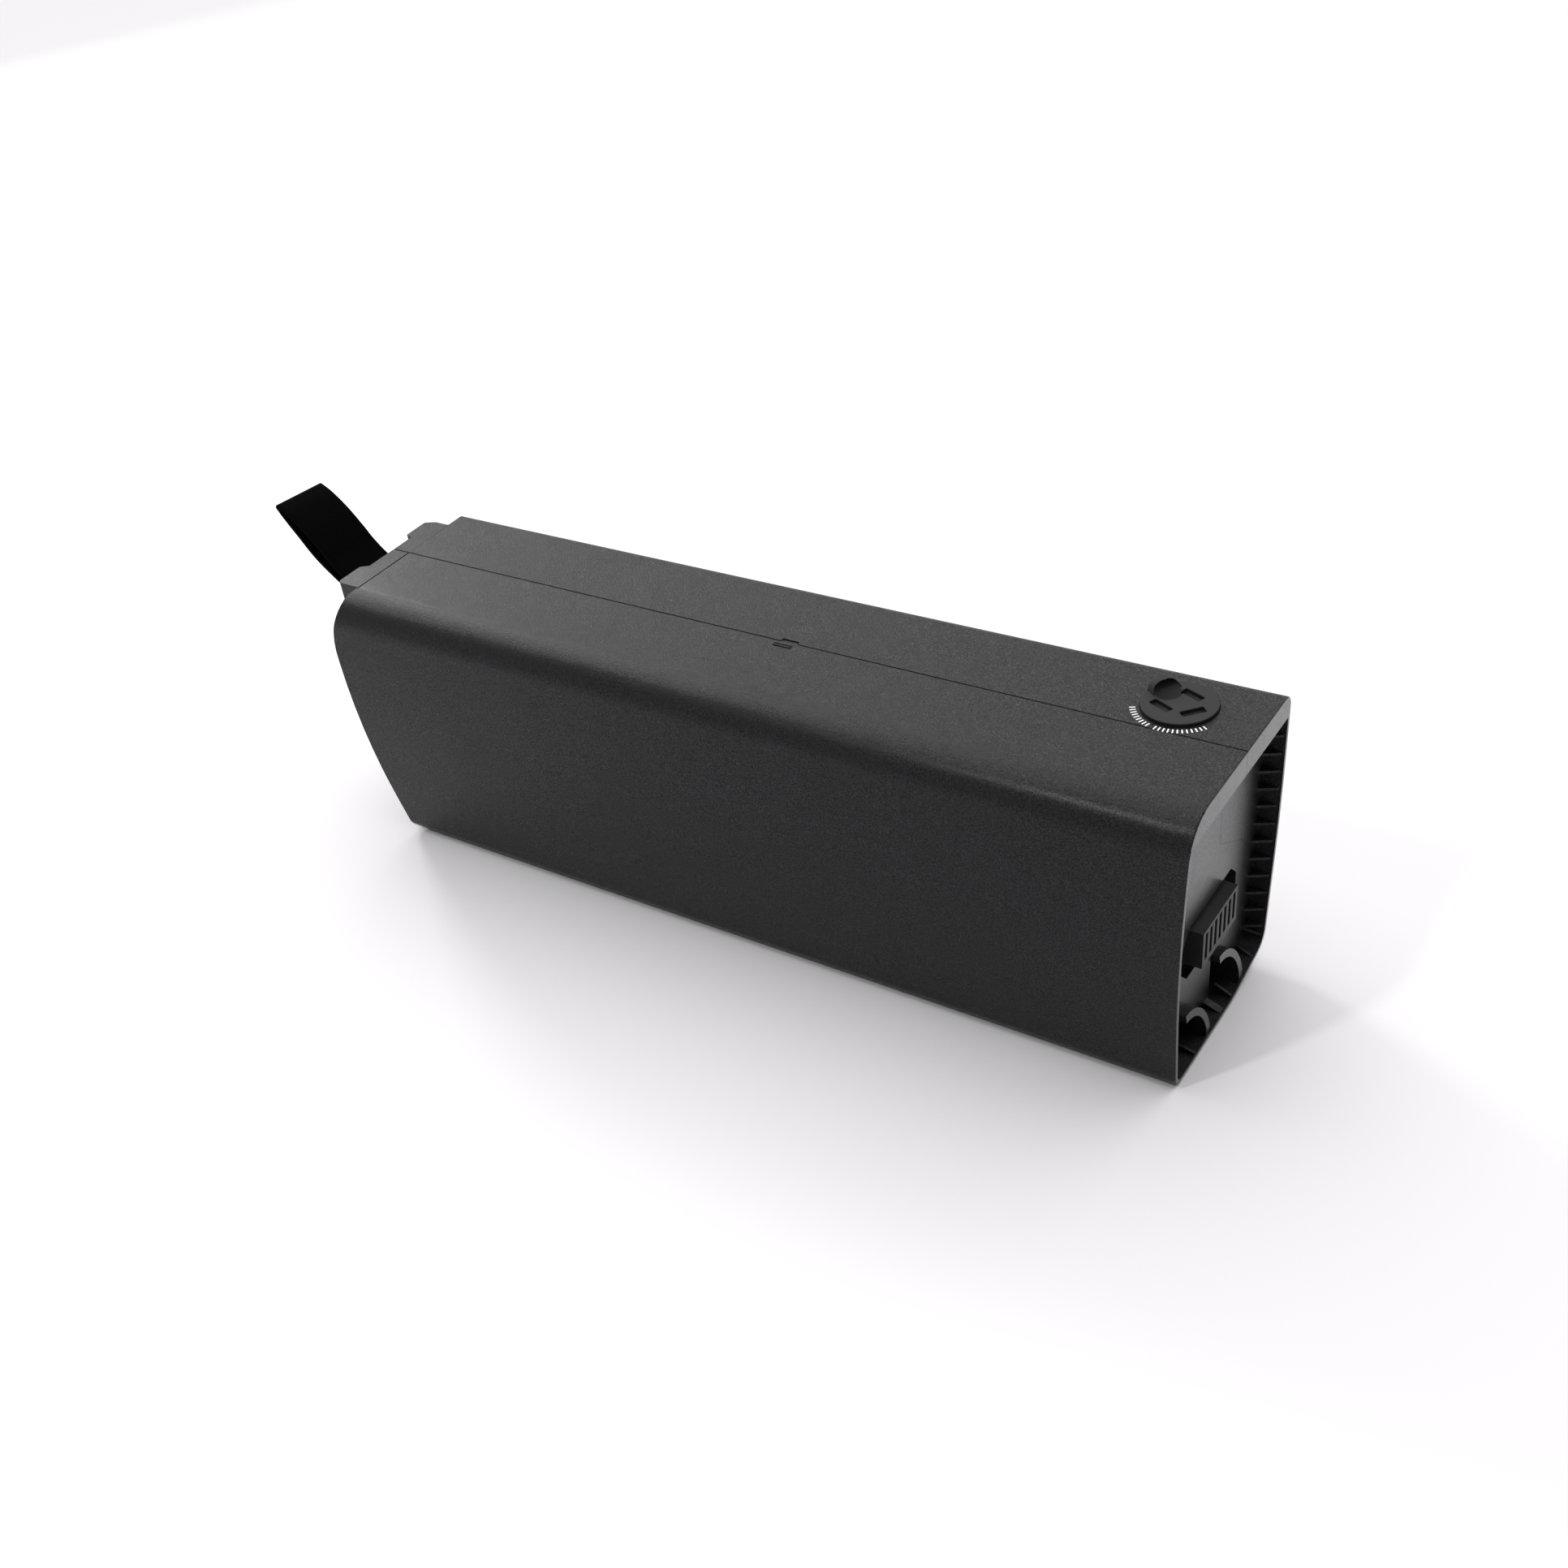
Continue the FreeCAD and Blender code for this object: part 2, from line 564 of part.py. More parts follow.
def foam_pads():
    """Blocks that wedge the cell block against the floor, the roof and the tail."""
    z0 = FIRST_CELL[1] - CELL_PITCH / 2 - 0.55
    z1 = FIRST_CELL[1] + CELL_PITCH * (CELL_ROWS - 0.5) + 0.55
    pads = [box(x, x + 50, -32, 4, WALL + 0.05, z0) for x in (-138.0, -40.0, 48.0)]
    pads += [box(x, x + 30, -20, 0, z1, TOP_IN - 0.05) for x in (-130.0, -25.0)]
    pads.append(box(TAIL_X + 10.5, FIRST_CELL[0] - CELL_PITCH / 2 - 0.55, -25, 25, 35, 80))
    return group(pads)


def bms_board():
    board = box(BOARD_X, BOARD_FRONT, -34, 28, 20, 84)
    holes = [rod((BOARD_X - 1, y, z), (1, 0, 0), 1.7, 5) for y in (-30, 24) for z in (24, 80)]
    return board.cut(holes)


def mosfets():
    """Two rows of flat power transistors with their legs bent to the board."""
    parts = []
    for row_z in (58.0, 76.0):
        for i in range(4):
            y = -26.0 + 13.0 * i
            body = box(BOARD_FRONT + 0.4, BOARD_FRONT + 4.8, y, y + 10, row_z - 14, row_z)
            legs = [box(BOARD_FRONT + 0.02, BOARD_FRONT + 1.2, y + 1.6 + 2.7 * k, y + 2.6 + 2.7 * k,
                        row_z - 17, row_z - 13.5) for k in range(3)]
            parts.append(body.fuse(legs))
    return group(parts)


def heat_spreader():
    x0 = BOARD_FRONT + 4.85
    base = box(x0, x0 + 3, -30, 24, 44, 79)
    fins = [box(x0 + 2.9, x0 + 8, -30 + 6 * i, -28.4 + 6 * i, 44, 79) for i in range(9)]
    return base.fuse(fins)


def capacitors():
    parts = []
    for i in range(3):
        can = rod((BOARD_FRONT + 0.05, -24 + 11 * i, 31), (1, 0, 0), 4.0, 13)
        ring = rod((BOARD_FRONT + 2, -24 + 11 * i, 31), (1, 0, 0), 5.0, 0.6)
        bead = ring.cut(rod((BOARD_FRONT + 1.5, -24 + 11 * i, 31), (1, 0, 0), 3.8, 2))
        parts.append(can.cut(bead))
    return group(parts)


def balance_socket():
    shell = box(BOARD_FRONT + 0.05, BOARD_FRONT + 7, 8, 24, 24.5, 38)
    slots = [box(BOARD_FRONT + 3, BOARD_FRONT + 8, 9.2 + 2.0 * i, 10.4 + 2.0 * i, 26, 36.5) for i in range(7)]
    return shell.cut(slots)


def balance_leads():
    """Flat ribbon from the board over the cell block, clipped down all the way."""
    z = ON_CELLS
    top = box(-120, BOARD_FRONT + 5, 12, 26, z, z + 1.1)
    drop = box(BOARD_FRONT + 3.9, BOARD_FRONT + 5, 12, 26, 84.5, z + 1.1)
    return top.fuse(drop).removeSplitter()


def temperature_probe():
    z = ON_CELLS
    bead = rod((-64, -30, z + 2.0), (1, 0, 0), 2.0, 5)
    lead = rod((-60, -30, z + 2.0), (1, 0, 0), 0.8, 160)
    return bead.fuse(lead)


def lead(route, radius):
    """Insulated wire along straight runs joined by large arcs."""
    points = [FreeCAD.Vector(*p) for p in route]
    edges = []
    start = points[0]
    for before, here, after in zip(points, points[1:], points[2:]):
        back = before.sub(here)
        ahead = after.sub(here)
        run = 0.45 * min(back.Length, ahead.Length)
        half = back.getAngle(ahead) / 2
        bend = run * math.tan(half)
        inward = back.normalize().add(ahead.normalize()).normalize()
        centre = here.add(inward * (bend / math.sin(half)))
        edges.append(Part.LineSegment(start, here.add(back * run)).toShape())
        arc = Part.Arc(here.add(back * run), centre.sub(inward * bend), here.add(ahead * run))
        edges.append(arc.toShape())
        start = here.add(ahead * run)
        print("  bend radius", round(bend, 1))
    edges.append(Part.LineSegment(start, points[-1]).toShape())
    path = Part.Wire(edges)
    ring = Part.Wire(Part.makeCircle(radius, points[0], points[1].sub(points[0])))
    tube = path.makePipeShell([ring], True, False)
    expected = math.pi * radius ** 2 * path.Length
    print("  section times length", round(expected, 1), "volume", round(tube.Volume, 1))
    return tube


def fuse_holder():
    z = ON_CELLS
    holder = box(FUSE_X[0], FUSE_X[1], -22, -10, z, z + 9)
    return holder.cut(box(FUSE_X[0] + 2, FUSE_X[1] - 2, -18.5, -13.5, z + 3, z + 10))


def fuse():
    z = ON_CELLS
    cap = box(FUSE_X[0] + 3, FUSE_X[1] - 3, -18, -14, z + 6, z + 14)
    blades = [box(x, x + 4, -16.4, -15.6, z + 3.05, z + 6.5) for x in (FUSE_X[0] + 4, FUSE_X[1] - 8)]
    return cap.fuse(blades)


def slot_starts():
    """Lower Y of each contact slot, evenly spread over the connector's nose."""
    width = PLUGBLOCK_Y[1] - PLUGBLOCK_Y[0]
    rib = (width - SLOT_COUNT * SLOT_WIDTH) / (SLOT_COUNT + 1)
    return [PLUGBLOCK_Y[0] + rib + (rib + SLOT_WIDTH) * i for i in range(SLOT_COUNT)]



def discharge_connector():
    """Comb-fronted socket with a flange that bolts behind the end panel."""
    low_y, high_y = PLUGBLOCK_Y
    low_z, high_z = PLUGBLOCK_Z
    nose = box(CONNECTOR_BACK, PLUGBLOCK_FRONT, low_y, high_y, low_z, high_z)
    flange = plate([(-32, 27.3, 1), (-32, 54.5, 3), (27.2, 54.5, 3), (27.2, 27.3, 1)],
                   on_x(FLANGE_X), (2.4, 0, 0))
    slots = [box(CONNECTOR_BACK + 4, PLUGBLOCK_FRONT + 1, y, y + SLOT_WIDTH,
                 PLUGBLOCK_Z[0] + 2.4, PLUGBLOCK_Z[1] - 1.4) for y in slot_starts()]
    screws = [rod((FLANGE_X - 5, y, CONNECTOR_SCREW_Z), (1, 0, 0), 1.4, 20) for y in CONNECTOR_SCREW_Y]
    return nose.fuse(flange).cut(slots + screws)


def connector_seal():
    plane = FLANGE_X + 2.45
    outer = plate([(-26.0, 27.4, 1), (-26.0, 53.4, 3), (23.6, 53.4, 3), (23.6, 27.4, 1)],
                  on_x(plane), (CAVITY_X - 0.05 - plane, 0, 0))
    hole = box(plane - 1, CAVITY_X + 1, -23.6, 22.5, 28.9, 51.4)
    return outer.cut(hole)


def connector_screw(y):
    head = rod((FLANGE_X - 1.85, y, CONNECTOR_SCREW_Z), (1, 0, 0), 2.1, 1.8)
    shank = rod((FLANGE_X - 1, y, CONNECTOR_SCREW_Z), (1, 0, 0), 1.1, 6.3)
    return head.fuse(shank)


def contact(y):
    """Blade in the middle of a slot."""
    low_z, high_z = PLUGBLOCK_Z
    return box(CONNECTOR_BACK + 4.1, PANEL_X - 1, y + 0.6, y + 1.4, low_z + 4.4, high_z - 3.4)


def charge_socket():
    """Round socket that hangs from the case's roof under the plug."""
    x, y = PORT
    body = rod((x, y, SOCKET_BOTTOM), (0, 0, 1), 9.8, CASE_HEIGHT - PORT_STEP - 0.2 - SOCKET_BOTTOM)
    flange = rod((x, y, TOP_IN - 3.2), (0, 0, 1), 12.6, 2.2)
    well = rod((x, y, WELL_FLOOR), (0, 0, 1), WELL_RADIUS, 40)
    key = box(x - 1.2, x + 1.2, y - WELL_RADIUS - 0.3, y - WELL_RADIUS + 1.0, WELL_FLOOR, WELL_FLOOR + 12)
    body = body.fuse(flange).cut(well).fuse(key)
    return body.cut([pin_rod(i, WELL_FLOOR - 6, 8, 1.05) for i in range(3)])


def pin_rod(i, z, length, radius):
    angle = math.radians(30 + 120 * i)
    x = PORT[0] + 4.6 * math.cos(angle)
    y = PORT[1] + 4.6 * math.sin(angle)
    return rod((x, y, z), (0, 0, 1), radius, length)


def socket_seal():
    ring = rod((PORT[0], PORT[1], TOP_IN - 0.95), (0, 0, 1), 12.2, 0.9)
    return ring.cut(rod((PORT[0], PORT[1], TOP_IN - 2), (0, 0, 1), 9.9, 3))


def charge_plug():
    """Rubber plug: a cap with three pockets, a finger tab and a ribbed neck."""
    x, y = PORT
    seat = CASE_HEIGHT - PORT_STEP + 0.02
    top = seat + CAP_HEIGHT
    cap = rod((x, y, seat), (0, 0, 1), PORT_RADIUS - FIT_GAP, CAP_HEIGHT)
    rim = [e for e in cap.Edges if e.BoundBox.ZMin > seat + 2 and e.Closed]
    cap = cap.makeFillet(0.7, rim)
    neck = rod((x, y, seat - 6), (0, 0, 1), 7.6, 6.5)
    beads = [rod((x, y, seat - z), (0, 0, 1), WELL_RADIUS - 0.06, 1.0) for z in (2.4, 4.8)]
    core = rod((x, y, seat - 7), (0, 0, 1), 6.2, 6.4)
    plug = cap.fuse([neck] + beads).cut(core)
    for u, v, turn in CAP_POCKETS:
        pocket = box(-4.0, 4.0, -1.5, 1.5, top - 1.1, top + 1)
        pocket.rotate(FreeCAD.Vector(0, 0, 0), FreeCAD.Vector(0, 0, 1), turn)
        pocket.translate(FreeCAD.Vector(x + u, y + v, 0))
        plug = plug.cut(pocket)
    turn = math.radians(TAB_TURN)
    out = (math.cos(turn), math.sin(turn), 0)
    foot = (x + 9.8 * out[0], y + 9.8 * out[1], top + TAB_RISE - TAB_RADIUS)
    tab = rod(foot, out, TAB_RADIUS, 2.2)
    tab = tab.common(rod((x, y, seat + 0.5), (0, 0, 1), PORT_RADIUS - FIT_GAP, 20))
    return plug.fuse(tab)


def main():
    os.makedirs("parts", exist_ok=True)
    near, far = shell_halves()
    save("shell_near", near)
    save("shell_far", far)
    save("shell_seal", shell_seal())
    save("shell_screws", group([case_screw(*b) for b in BOSSES]))
    save("strap_block", strap_block())
    save("strap_pin", strap_pin())
    save("strap_block_screws", group([strap_screw(*s) for s in block_screw_spots()]))
    save("strap", strap())
    save("cells", group([cell(x, z) for x, z in cell_spots()]))
    save("cell_holder_near", cell_holder(-1))
    save("cell_holder_far", cell_holder(1))
    save("nickel_strips_near", nickel_strips(-1))
    save("nickel_strips_far", nickel_strips(1))
    save("insulation_sheet_near", insulation_sheet(-1))
    save("insulation_sheet_far", insulation_sheet(1))
    save("foam_pads", foam_pads())
    save("bms_board", bms_board())
    save("bms_mosfets", mosfets())
    save("bms_heat_spreader", heat_spreader())
    save("bms_capacitors", capacitors())
    save("balance_socket", balance_socket())
    save("balance_leads", balance_leads())
    save("temperature_probe", temperature_probe())
    save("fuse_holder", fuse_holder())
    save("fuse", fuse())
    save("discharge_connector", discharge_connector())
    save("discharge_contacts", group([contact(y) for y in slot_starts()]))
    save("connector_seal", connector_seal())
    save("connector_screws", group([connector_screw(y) for y in CONNECTOR_SCREW_Y]))
    save("positive_lead", lead(POSITIVE_ROUTE, POWER_WIRE))
    save("negative_lead", lead(NEGATIVE_ROUTE, POWER_WIRE))
    save("charge_leads", group([lead(route, CHARGE_WIRE) for route in CHARGE_ROUTES]))
    save("charge_socket", charge_socket())
    save("charge_socket_pins", group([pin_rod(i, WELL_FLOOR - 4, 13, 1.0) for i in range(3)]))
    save("charge_socket_seal", socket_seal())
    save("charge_plug", charge_plug())


main()
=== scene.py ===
import json
import math

import bpy
from mathutils import Matrix, Vector

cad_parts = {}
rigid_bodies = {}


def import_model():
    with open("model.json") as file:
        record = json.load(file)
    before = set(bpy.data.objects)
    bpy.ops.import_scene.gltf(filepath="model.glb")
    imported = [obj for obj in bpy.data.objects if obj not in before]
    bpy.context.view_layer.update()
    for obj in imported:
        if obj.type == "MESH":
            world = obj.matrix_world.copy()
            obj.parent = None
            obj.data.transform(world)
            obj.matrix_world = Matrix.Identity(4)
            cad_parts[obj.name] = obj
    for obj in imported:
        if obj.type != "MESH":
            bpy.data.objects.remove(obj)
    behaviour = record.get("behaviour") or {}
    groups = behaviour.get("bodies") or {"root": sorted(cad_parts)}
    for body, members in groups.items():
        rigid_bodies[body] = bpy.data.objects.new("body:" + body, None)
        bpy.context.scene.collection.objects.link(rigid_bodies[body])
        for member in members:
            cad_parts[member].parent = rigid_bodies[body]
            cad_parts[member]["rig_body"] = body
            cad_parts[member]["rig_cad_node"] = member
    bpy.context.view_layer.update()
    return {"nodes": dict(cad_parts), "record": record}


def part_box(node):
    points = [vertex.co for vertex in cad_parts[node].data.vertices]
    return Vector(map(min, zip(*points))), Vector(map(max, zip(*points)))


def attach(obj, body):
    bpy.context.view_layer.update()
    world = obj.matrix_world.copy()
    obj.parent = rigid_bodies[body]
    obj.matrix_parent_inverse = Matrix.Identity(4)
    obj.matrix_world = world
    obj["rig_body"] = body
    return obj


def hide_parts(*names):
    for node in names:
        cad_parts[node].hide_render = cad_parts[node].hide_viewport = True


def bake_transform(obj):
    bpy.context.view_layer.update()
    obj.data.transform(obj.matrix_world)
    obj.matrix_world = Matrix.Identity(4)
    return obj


bl_info = {
    "name": "Slide-in Battery Pack",
    "version": (1, 0, 0),
    "blender": (4, 5, 0),
    "location": "View3D > Sidebar > Battery Pack",
    "description": "Finishes a packed CAD model of an electric bicycle's battery pack",
    "category": "Object",
}

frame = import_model()

MM = 0.001

# Places that follow from the frame.
CASE_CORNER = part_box("shell_far")[1]
PLUG_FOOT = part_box("charge_plug")[0].z
SOCKET_LOW, SOCKET_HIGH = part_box("charge_socket")
PIN_LOW, PIN_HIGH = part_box("strap_pin")
STRAP_LOW, STRAP_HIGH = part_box("strap")

SKIRT_DEPTH = 7.0 * MM
END_PANEL_X = CASE_CORNER.x - SKIRT_DEPTH
PORT = Vector(((SOCKET_LOW.x + SOCKET_HIGH.x) / 2, (SOCKET_LOW.y + SOCKET_HIGH.y) / 2, CASE_CORNER.z))
STRAP_PIN = Vector(((PIN_LOW.x + PIN_HIGH.x) / 2,
                    (STRAP_LOW.y + STRAP_HIGH.y) / 2,
                    (PIN_LOW.z + PIN_HIGH.z) / 2))
STRAP_WIDTH = STRAP_HIGH.y - STRAP_LOW.y


# ---------------------------------------------------------------- settings


class PackCaseSettings(bpy.types.PropertyGroup):
    """Look of the moulded case and its tail block"""
    plastic: bpy.props.FloatVectorProperty(
        name="Case plastic", description="Colour of the moulded case", subtype="COLOR",
        size=3, min=0, max=1, default=(0.0078, 0.0070, 0.0083))
    grain_size: bpy.props.FloatProperty(
        name="Grain size", description="Width of one pit of the moulded grain",
        unit="LENGTH", default=0.55 * MM)
    grain_depth: bpy.props.FloatProperty(
        name="Grain depth", description="Depth of the moulded grain",
        unit="LENGTH", default=0.55 * MM)
    tail_bevel: bpy.props.FloatProperty(
        name="Edge rounding", description="Rounding of the tail block's edges",
        unit="LENGTH", default=0.35 * MM)


class PackStrapSettings(bpy.types.PropertyGroup):
    """Look of the webbing loop"""
    webbing: bpy.props.FloatVectorProperty(
        name="Webbing", description="Colour of the pull strap", subtype="COLOR",
        size=3, min=0, max=1, default=(0.0010, 0.0010, 0.0011))
    thickness: bpy.props.FloatProperty(
        name="Thickness", description="Thickness of one layer of webbing",
        unit="LENGTH", default=1.45 * MM)
    rib_pitch: bpy.props.FloatProperty(
        name="Rib pitch", description="Distance between the woven ribs",
        unit="LENGTH", default=1.3 * MM)


class PackPlugSettings(bpy.types.PropertyGroup):
    """Look of the charge port's plug and of the marks beside it"""
    rubber: bpy.props.FloatVectorProperty(
        name="Rubber", description="Colour of the charge plug", subtype="COLOR",
        size=3, min=0, max=1, default=(0.0065, 0.0060, 0.0068))
    radius: bpy.props.FloatProperty(
        name="Cap radius", description="Radius of the plug's cap", unit="LENGTH", default=12.7 * MM)
    cap_height: bpy.props.FloatProperty(
        name="Cap height", description="Height of the plug's cap", unit="LENGTH", default=2.7 * MM)
    marks: bpy.props.FloatVectorProperty(
        name="Printed marks", description="Colour of the printed ticks round the port", subtype="COLOR",
        size=3, min=0, max=1, default=(0.80, 0.80, 0.79))


class PackStageSettings(bpy.types.PropertyGroup):
    """Look of the floor, and the camera's lens"""
    floor: bpy.props.FloatVectorProperty(
        name="Floor", description="Colour of the floor", subtype="COLOR",
        size=3, min=0, max=1, default=(0.760, 0.745, 0.760))
    lens: bpy.props.FloatProperty(
        name="Lens", description="Focal length on a 36 mm sensor, in millimetres", default=41.04)


class PackSettings(bpy.types.PropertyGroup):
    """All the settings of the pack"""
    case: bpy.props.PointerProperty(type=PackCaseSettings)
    strap: bpy.props.PointerProperty(type=PackStrapSettings)
    plug: bpy.props.PointerProperty(type=PackPlugSettings)
    stage: bpy.props.PointerProperty(type=PackStageSettings)


def settings():
    return bpy.context.scene.battery_pack


# ---------------------------------------------------------------- shader graphs


class Socket:
    """An output socket that Python's operators turn into Math nodes."""

    def __init__(self, graph, socket):
        self.graph = graph
        self.socket = socket

    def _math(self, operation, first, second):
        node = self.graph.node("ShaderNodeMath", {"operation": operation}, {0: first, 1: second})
        return self.graph.out(node, 0)

    def __add__(self, other):
        return self._math("ADD", self, other)

    def __radd__(self, other):
        return self._math("ADD", other, self)

    def __sub__(self, other):
        return self._math("SUBTRACT", self, other)

    def __rsub__(self, other):
        return self._math("SUBTRACT", other, self)

    def __mul__(self, other):
        return self._math("MULTIPLY", self, other)

    def __rmul__(self, other):
        return self._math("MULTIPLY", other, self)

    def __truediv__(self, other):
        return self._math("DIVIDE", self, other)

    def ramp(self, low, high):
        """0 up to low, 1 from high, smooth between."""
        node = self.graph.node("ShaderNodeMapRange", {"interpolation_type": "SMOOTHSTEP"},
                               {"Value": self, "From Min": low, "From Max": high})
        return self.graph.out(node, "Result")


class Graph:
    """A material's node tree and the few patterns that the finishes share."""

    def __init__(self, name):
        self.material = bpy.data.materials.new(name)
        self.material.use_nodes = True
        self.tree = self.material.node_tree
        self.shader = self.tree.nodes["Principled BSDF"]

    def node(self, kind, settings=None, values=None):
        made = self.tree.nodes.new(kind)
        for key, value in (settings or {}).items():
            setattr(made, key, value)
        for key, value in (values or {}).items():
            self.feed(made.inputs[key], value)
        return made

    def feed(self, target, value):
        if isinstance(value, Socket):
            self.tree.links.new(value.socket, target)
        else:
            target.default_value = value

    def out(self, node, key):
        return Socket(self, node.outputs[key])

    def place(self, scale=(1, 1, 1), turn=(0, 0, 0)):
        """Object coordinates, scaled and turned."""
        source = self.out(self.node("ShaderNodeTexCoord"), "Object")
        mapping = self.node("ShaderNodeMapping", {}, {"Vector": source, "Scale": scale, "Rotation": turn})
        return self.out(mapping, "Vector")

    def axis(self, name, vector):
        return self.out(self.node("ShaderNodeSeparateXYZ", {}, {"Vector": vector}), name)

    def noise(self, scale, detail=2.0, roughness=0.5, vector=None):
        node = self.node("ShaderNodeTexNoise", {}, {
            "Vector": vector or self.place(), "Scale": scale, "Detail": detail, "Roughness": roughness})
        return self.out(node, "Fac")

    def cells(self, scale):
        node = self.node("ShaderNodeTexVoronoi", {}, {"Vector": self.place(), "Scale": scale})
        return self.out(node, "Distance")

    def wave(self, turns):
        """A smooth 0 to 1 wave, one per unit of turns."""
        node = self.node("ShaderNodeMath", {"operation": "SINE"}, {0: turns * (2 * math.pi)})
        return self.out(node, 0) * 0.5 + 0.5

    def blend(self, factor, first, second):
        """Colour mix; a plain colour is three numbers."""
        node = self.node("ShaderNodeMix", {"data_type": "RGBA"}, {"Factor": factor})
        for slot, value in ((6, first), (7, second)):
            self.feed(node.inputs[slot], value if isinstance(value, Socket) else (*value, 1))
        return Socket(self, node.outputs[2])

    def attribute(self, name):
        return self.out(self.node("ShaderNodeAttribute", {"attribute_name": name}), "Fac")

    def bump(self, height, distance, strength=1.0):
        values = {"Height": height, "Distance": distance, "Strength": strength}
        return self.out(self.node("ShaderNodeBump", {}, values), "Normal")

    def finish(self, **values):
        """Set the shader's sockets, with spaces written as underscores."""
        for key, value in values.items():
            if isinstance(value, (tuple, list)) and len(value) == 3:
                value = (*value, 1)
            self.feed(self.shader.inputs[key.replace("_", " ")], value)
        return self.material


def lighter(colour, factor):
    return tuple(min(1.0, c * factor) for c in colour)


# ---------------------------------------------------------------- finishes


def case_plastic():
    """Black moulded plastic with a fine grain, smoother on the end panel and the rim."""
    g = Graph("case_plastic")
    look = settings().case
    base = tuple(look.plastic)
    pits = g.noise(1 / look.grain_size, 3.0, 0.62)
    fine = g.noise(2.6 / look.grain_size, 2.0)
    patches = g.noise(9.0, 2.0)
    handling = g.noise(38.0, 4.0, 0.6)
    grain = pits * 0.75 + fine * 0.25
    speck = grain.ramp(0.43, 0.60)
    tone = g.blend(speck, lighter(base, 0.25), lighter(base, 1.9))
    tone = g.blend(patches.ramp(0.35, 0.7) * 0.35, tone, lighter(base, 1.25))
    rough = 0.34 - speck * 0.08 + handling.ramp(0.4, 0.75) * 0.05
    smooth = g.attribute("end_face")
    return g.finish(Base_Color=tone, Roughness=rough, Specular_IOR_Level=0.14,
                    Coat_Weight=smooth * 0.55 + 0.10 + speck * 0.22, Coat_Roughness=0.30,
                    Normal=g.bump(grain * (1 - smooth * 0.75), look.grain_depth, 1.0))


def connector_plastic():
    """Plain black engineering plastic of the sockets."""
    g = Graph("connector_plastic")
    cloud = g.noise(120.0, 3.0)
    fine = g.noise(2400.0, 2.0)
    tone = g.blend(cloud, (0.008, 0.008, 0.009), (0.016, 0.016, 0.017))
    return g.finish(Base_Color=tone, Roughness=0.42 + cloud * 0.12, Specular_IOR_Level=0.4,
                    Normal=g.bump(fine, 0.03 * MM, 0.6))


def plug_rubber():
    """Soft moulded rubber with a dusty bloom."""
    g = Graph("plug_rubber")
    base = tuple(settings().plug.rubber)
    bloom = g.noise(210.0, 4.0, 0.6)
    fine = g.noise(3200.0, 2.0)
    tone = g.blend(bloom.ramp(0.35, 0.75), lighter(base, 0.85), lighter(base, 1.3))
    return g.finish(Base_Color=tone, Roughness=0.58 + bloom * 0.16, Specular_IOR_Level=0.35,
                    Normal=g.bump(fine, 0.03 * MM, 0.5))


def webbing():
    """Woven nylon: lengthwise ribs crossed by fine picks, on the strap's own UV map."""
    g = Graph("webbing")
    look = settings().strap
    uv = g.out(g.node("ShaderNodeUVMap", {"uv_map": "along_strap"}), "UV")
    across = g.axis("X", uv)
    along = g.axis("Y", uv)
    rib = g.wave(across / look.rib_pitch)
    pick = g.wave(along / (look.rib_pitch * 0.62) + g.wave(across / look.rib_pitch) * 0.5)
    weave = rib * 0.6 + pick * 0.4
    fuzz = g.noise(2600.0, 3.0)
    base = tuple(look.webbing)
    tone = g.blend(weave, lighter(base, 0.4), lighter(base, 1.6))
    return g.finish(Base_Color=tone, Roughness=0.80 + fuzz * 0.14, Specular_IOR_Level=0.03,
                    Normal=g.bump(weave + fuzz * 0.2, 0.16 * MM, 0.9))


def print_ink():
    """White pad-printed ink, slightly broken by the grain under it."""
    g = Graph("print_ink")
    base = tuple(settings().plug.marks)
    grain = g.noise(1300.0, 3.0)
    return g.finish(Base_Color=g.blend(grain.ramp(0.62, 0.74), base, lighter(base, 0.7)),
                    Roughness=0.5 + grain * 0.15, Normal=g.bump(grain, 0.05 * MM, 0.5))


def seal_rubber():
    """Black rubber of the gaskets."""
    g = Graph("seal_rubber")
    bloom = g.noise(260.0, 3.0)
    return g.finish(Base_Color=g.blend(bloom, (0.010, 0.010, 0.010), (0.022, 0.022, 0.022)),
                    Roughness=0.6 + bloom * 0.2, Normal=g.bump(bloom, 0.05 * MM, 0.5))


def metal(name, low, high, rough, stretch):
    """Metal with fine drawn lines along one direction."""
    g = Graph(name)
    lines = g.noise(900.0, 3.0, 0.6, g.place(stretch))
    stain = g.noise(140.0, 3.0)
    return g.finish(Base_Color=g.blend(lines, low, high), Metallic=1.0,
                    Roughness=rough + lines * 0.12 + stain * 0.08, Normal=g.bump(lines, 0.02 * MM, 0.5))


def moulded(name, low, high, rough):
    """Plain moulded or coated material with a soft cloud of tone."""
    g = Graph(name)
    cloud = g.noise(70.0, 3.0)
    fine = g.noise(600.0, 3.0)
    return g.finish(Base_Color=g.blend(cloud, low, high), Roughness=rough + fine * 0.12,
                    Normal=g.bump(fine, 0.04 * MM, 0.6))


def foam():
    """Dark closed-cell foam."""
    g = Graph("foam")
    bubbles = g.cells(900.0)
    return g.finish(Base_Color=g.blend(bubbles.ramp(0.1, 0.5), (0.02, 0.02, 0.022), (0.07, 0.07, 0.075)),
                    Roughness=0.85 + bubbles * 0.1, Normal=g.bump(bubbles, 0.3 * MM, 0.8))


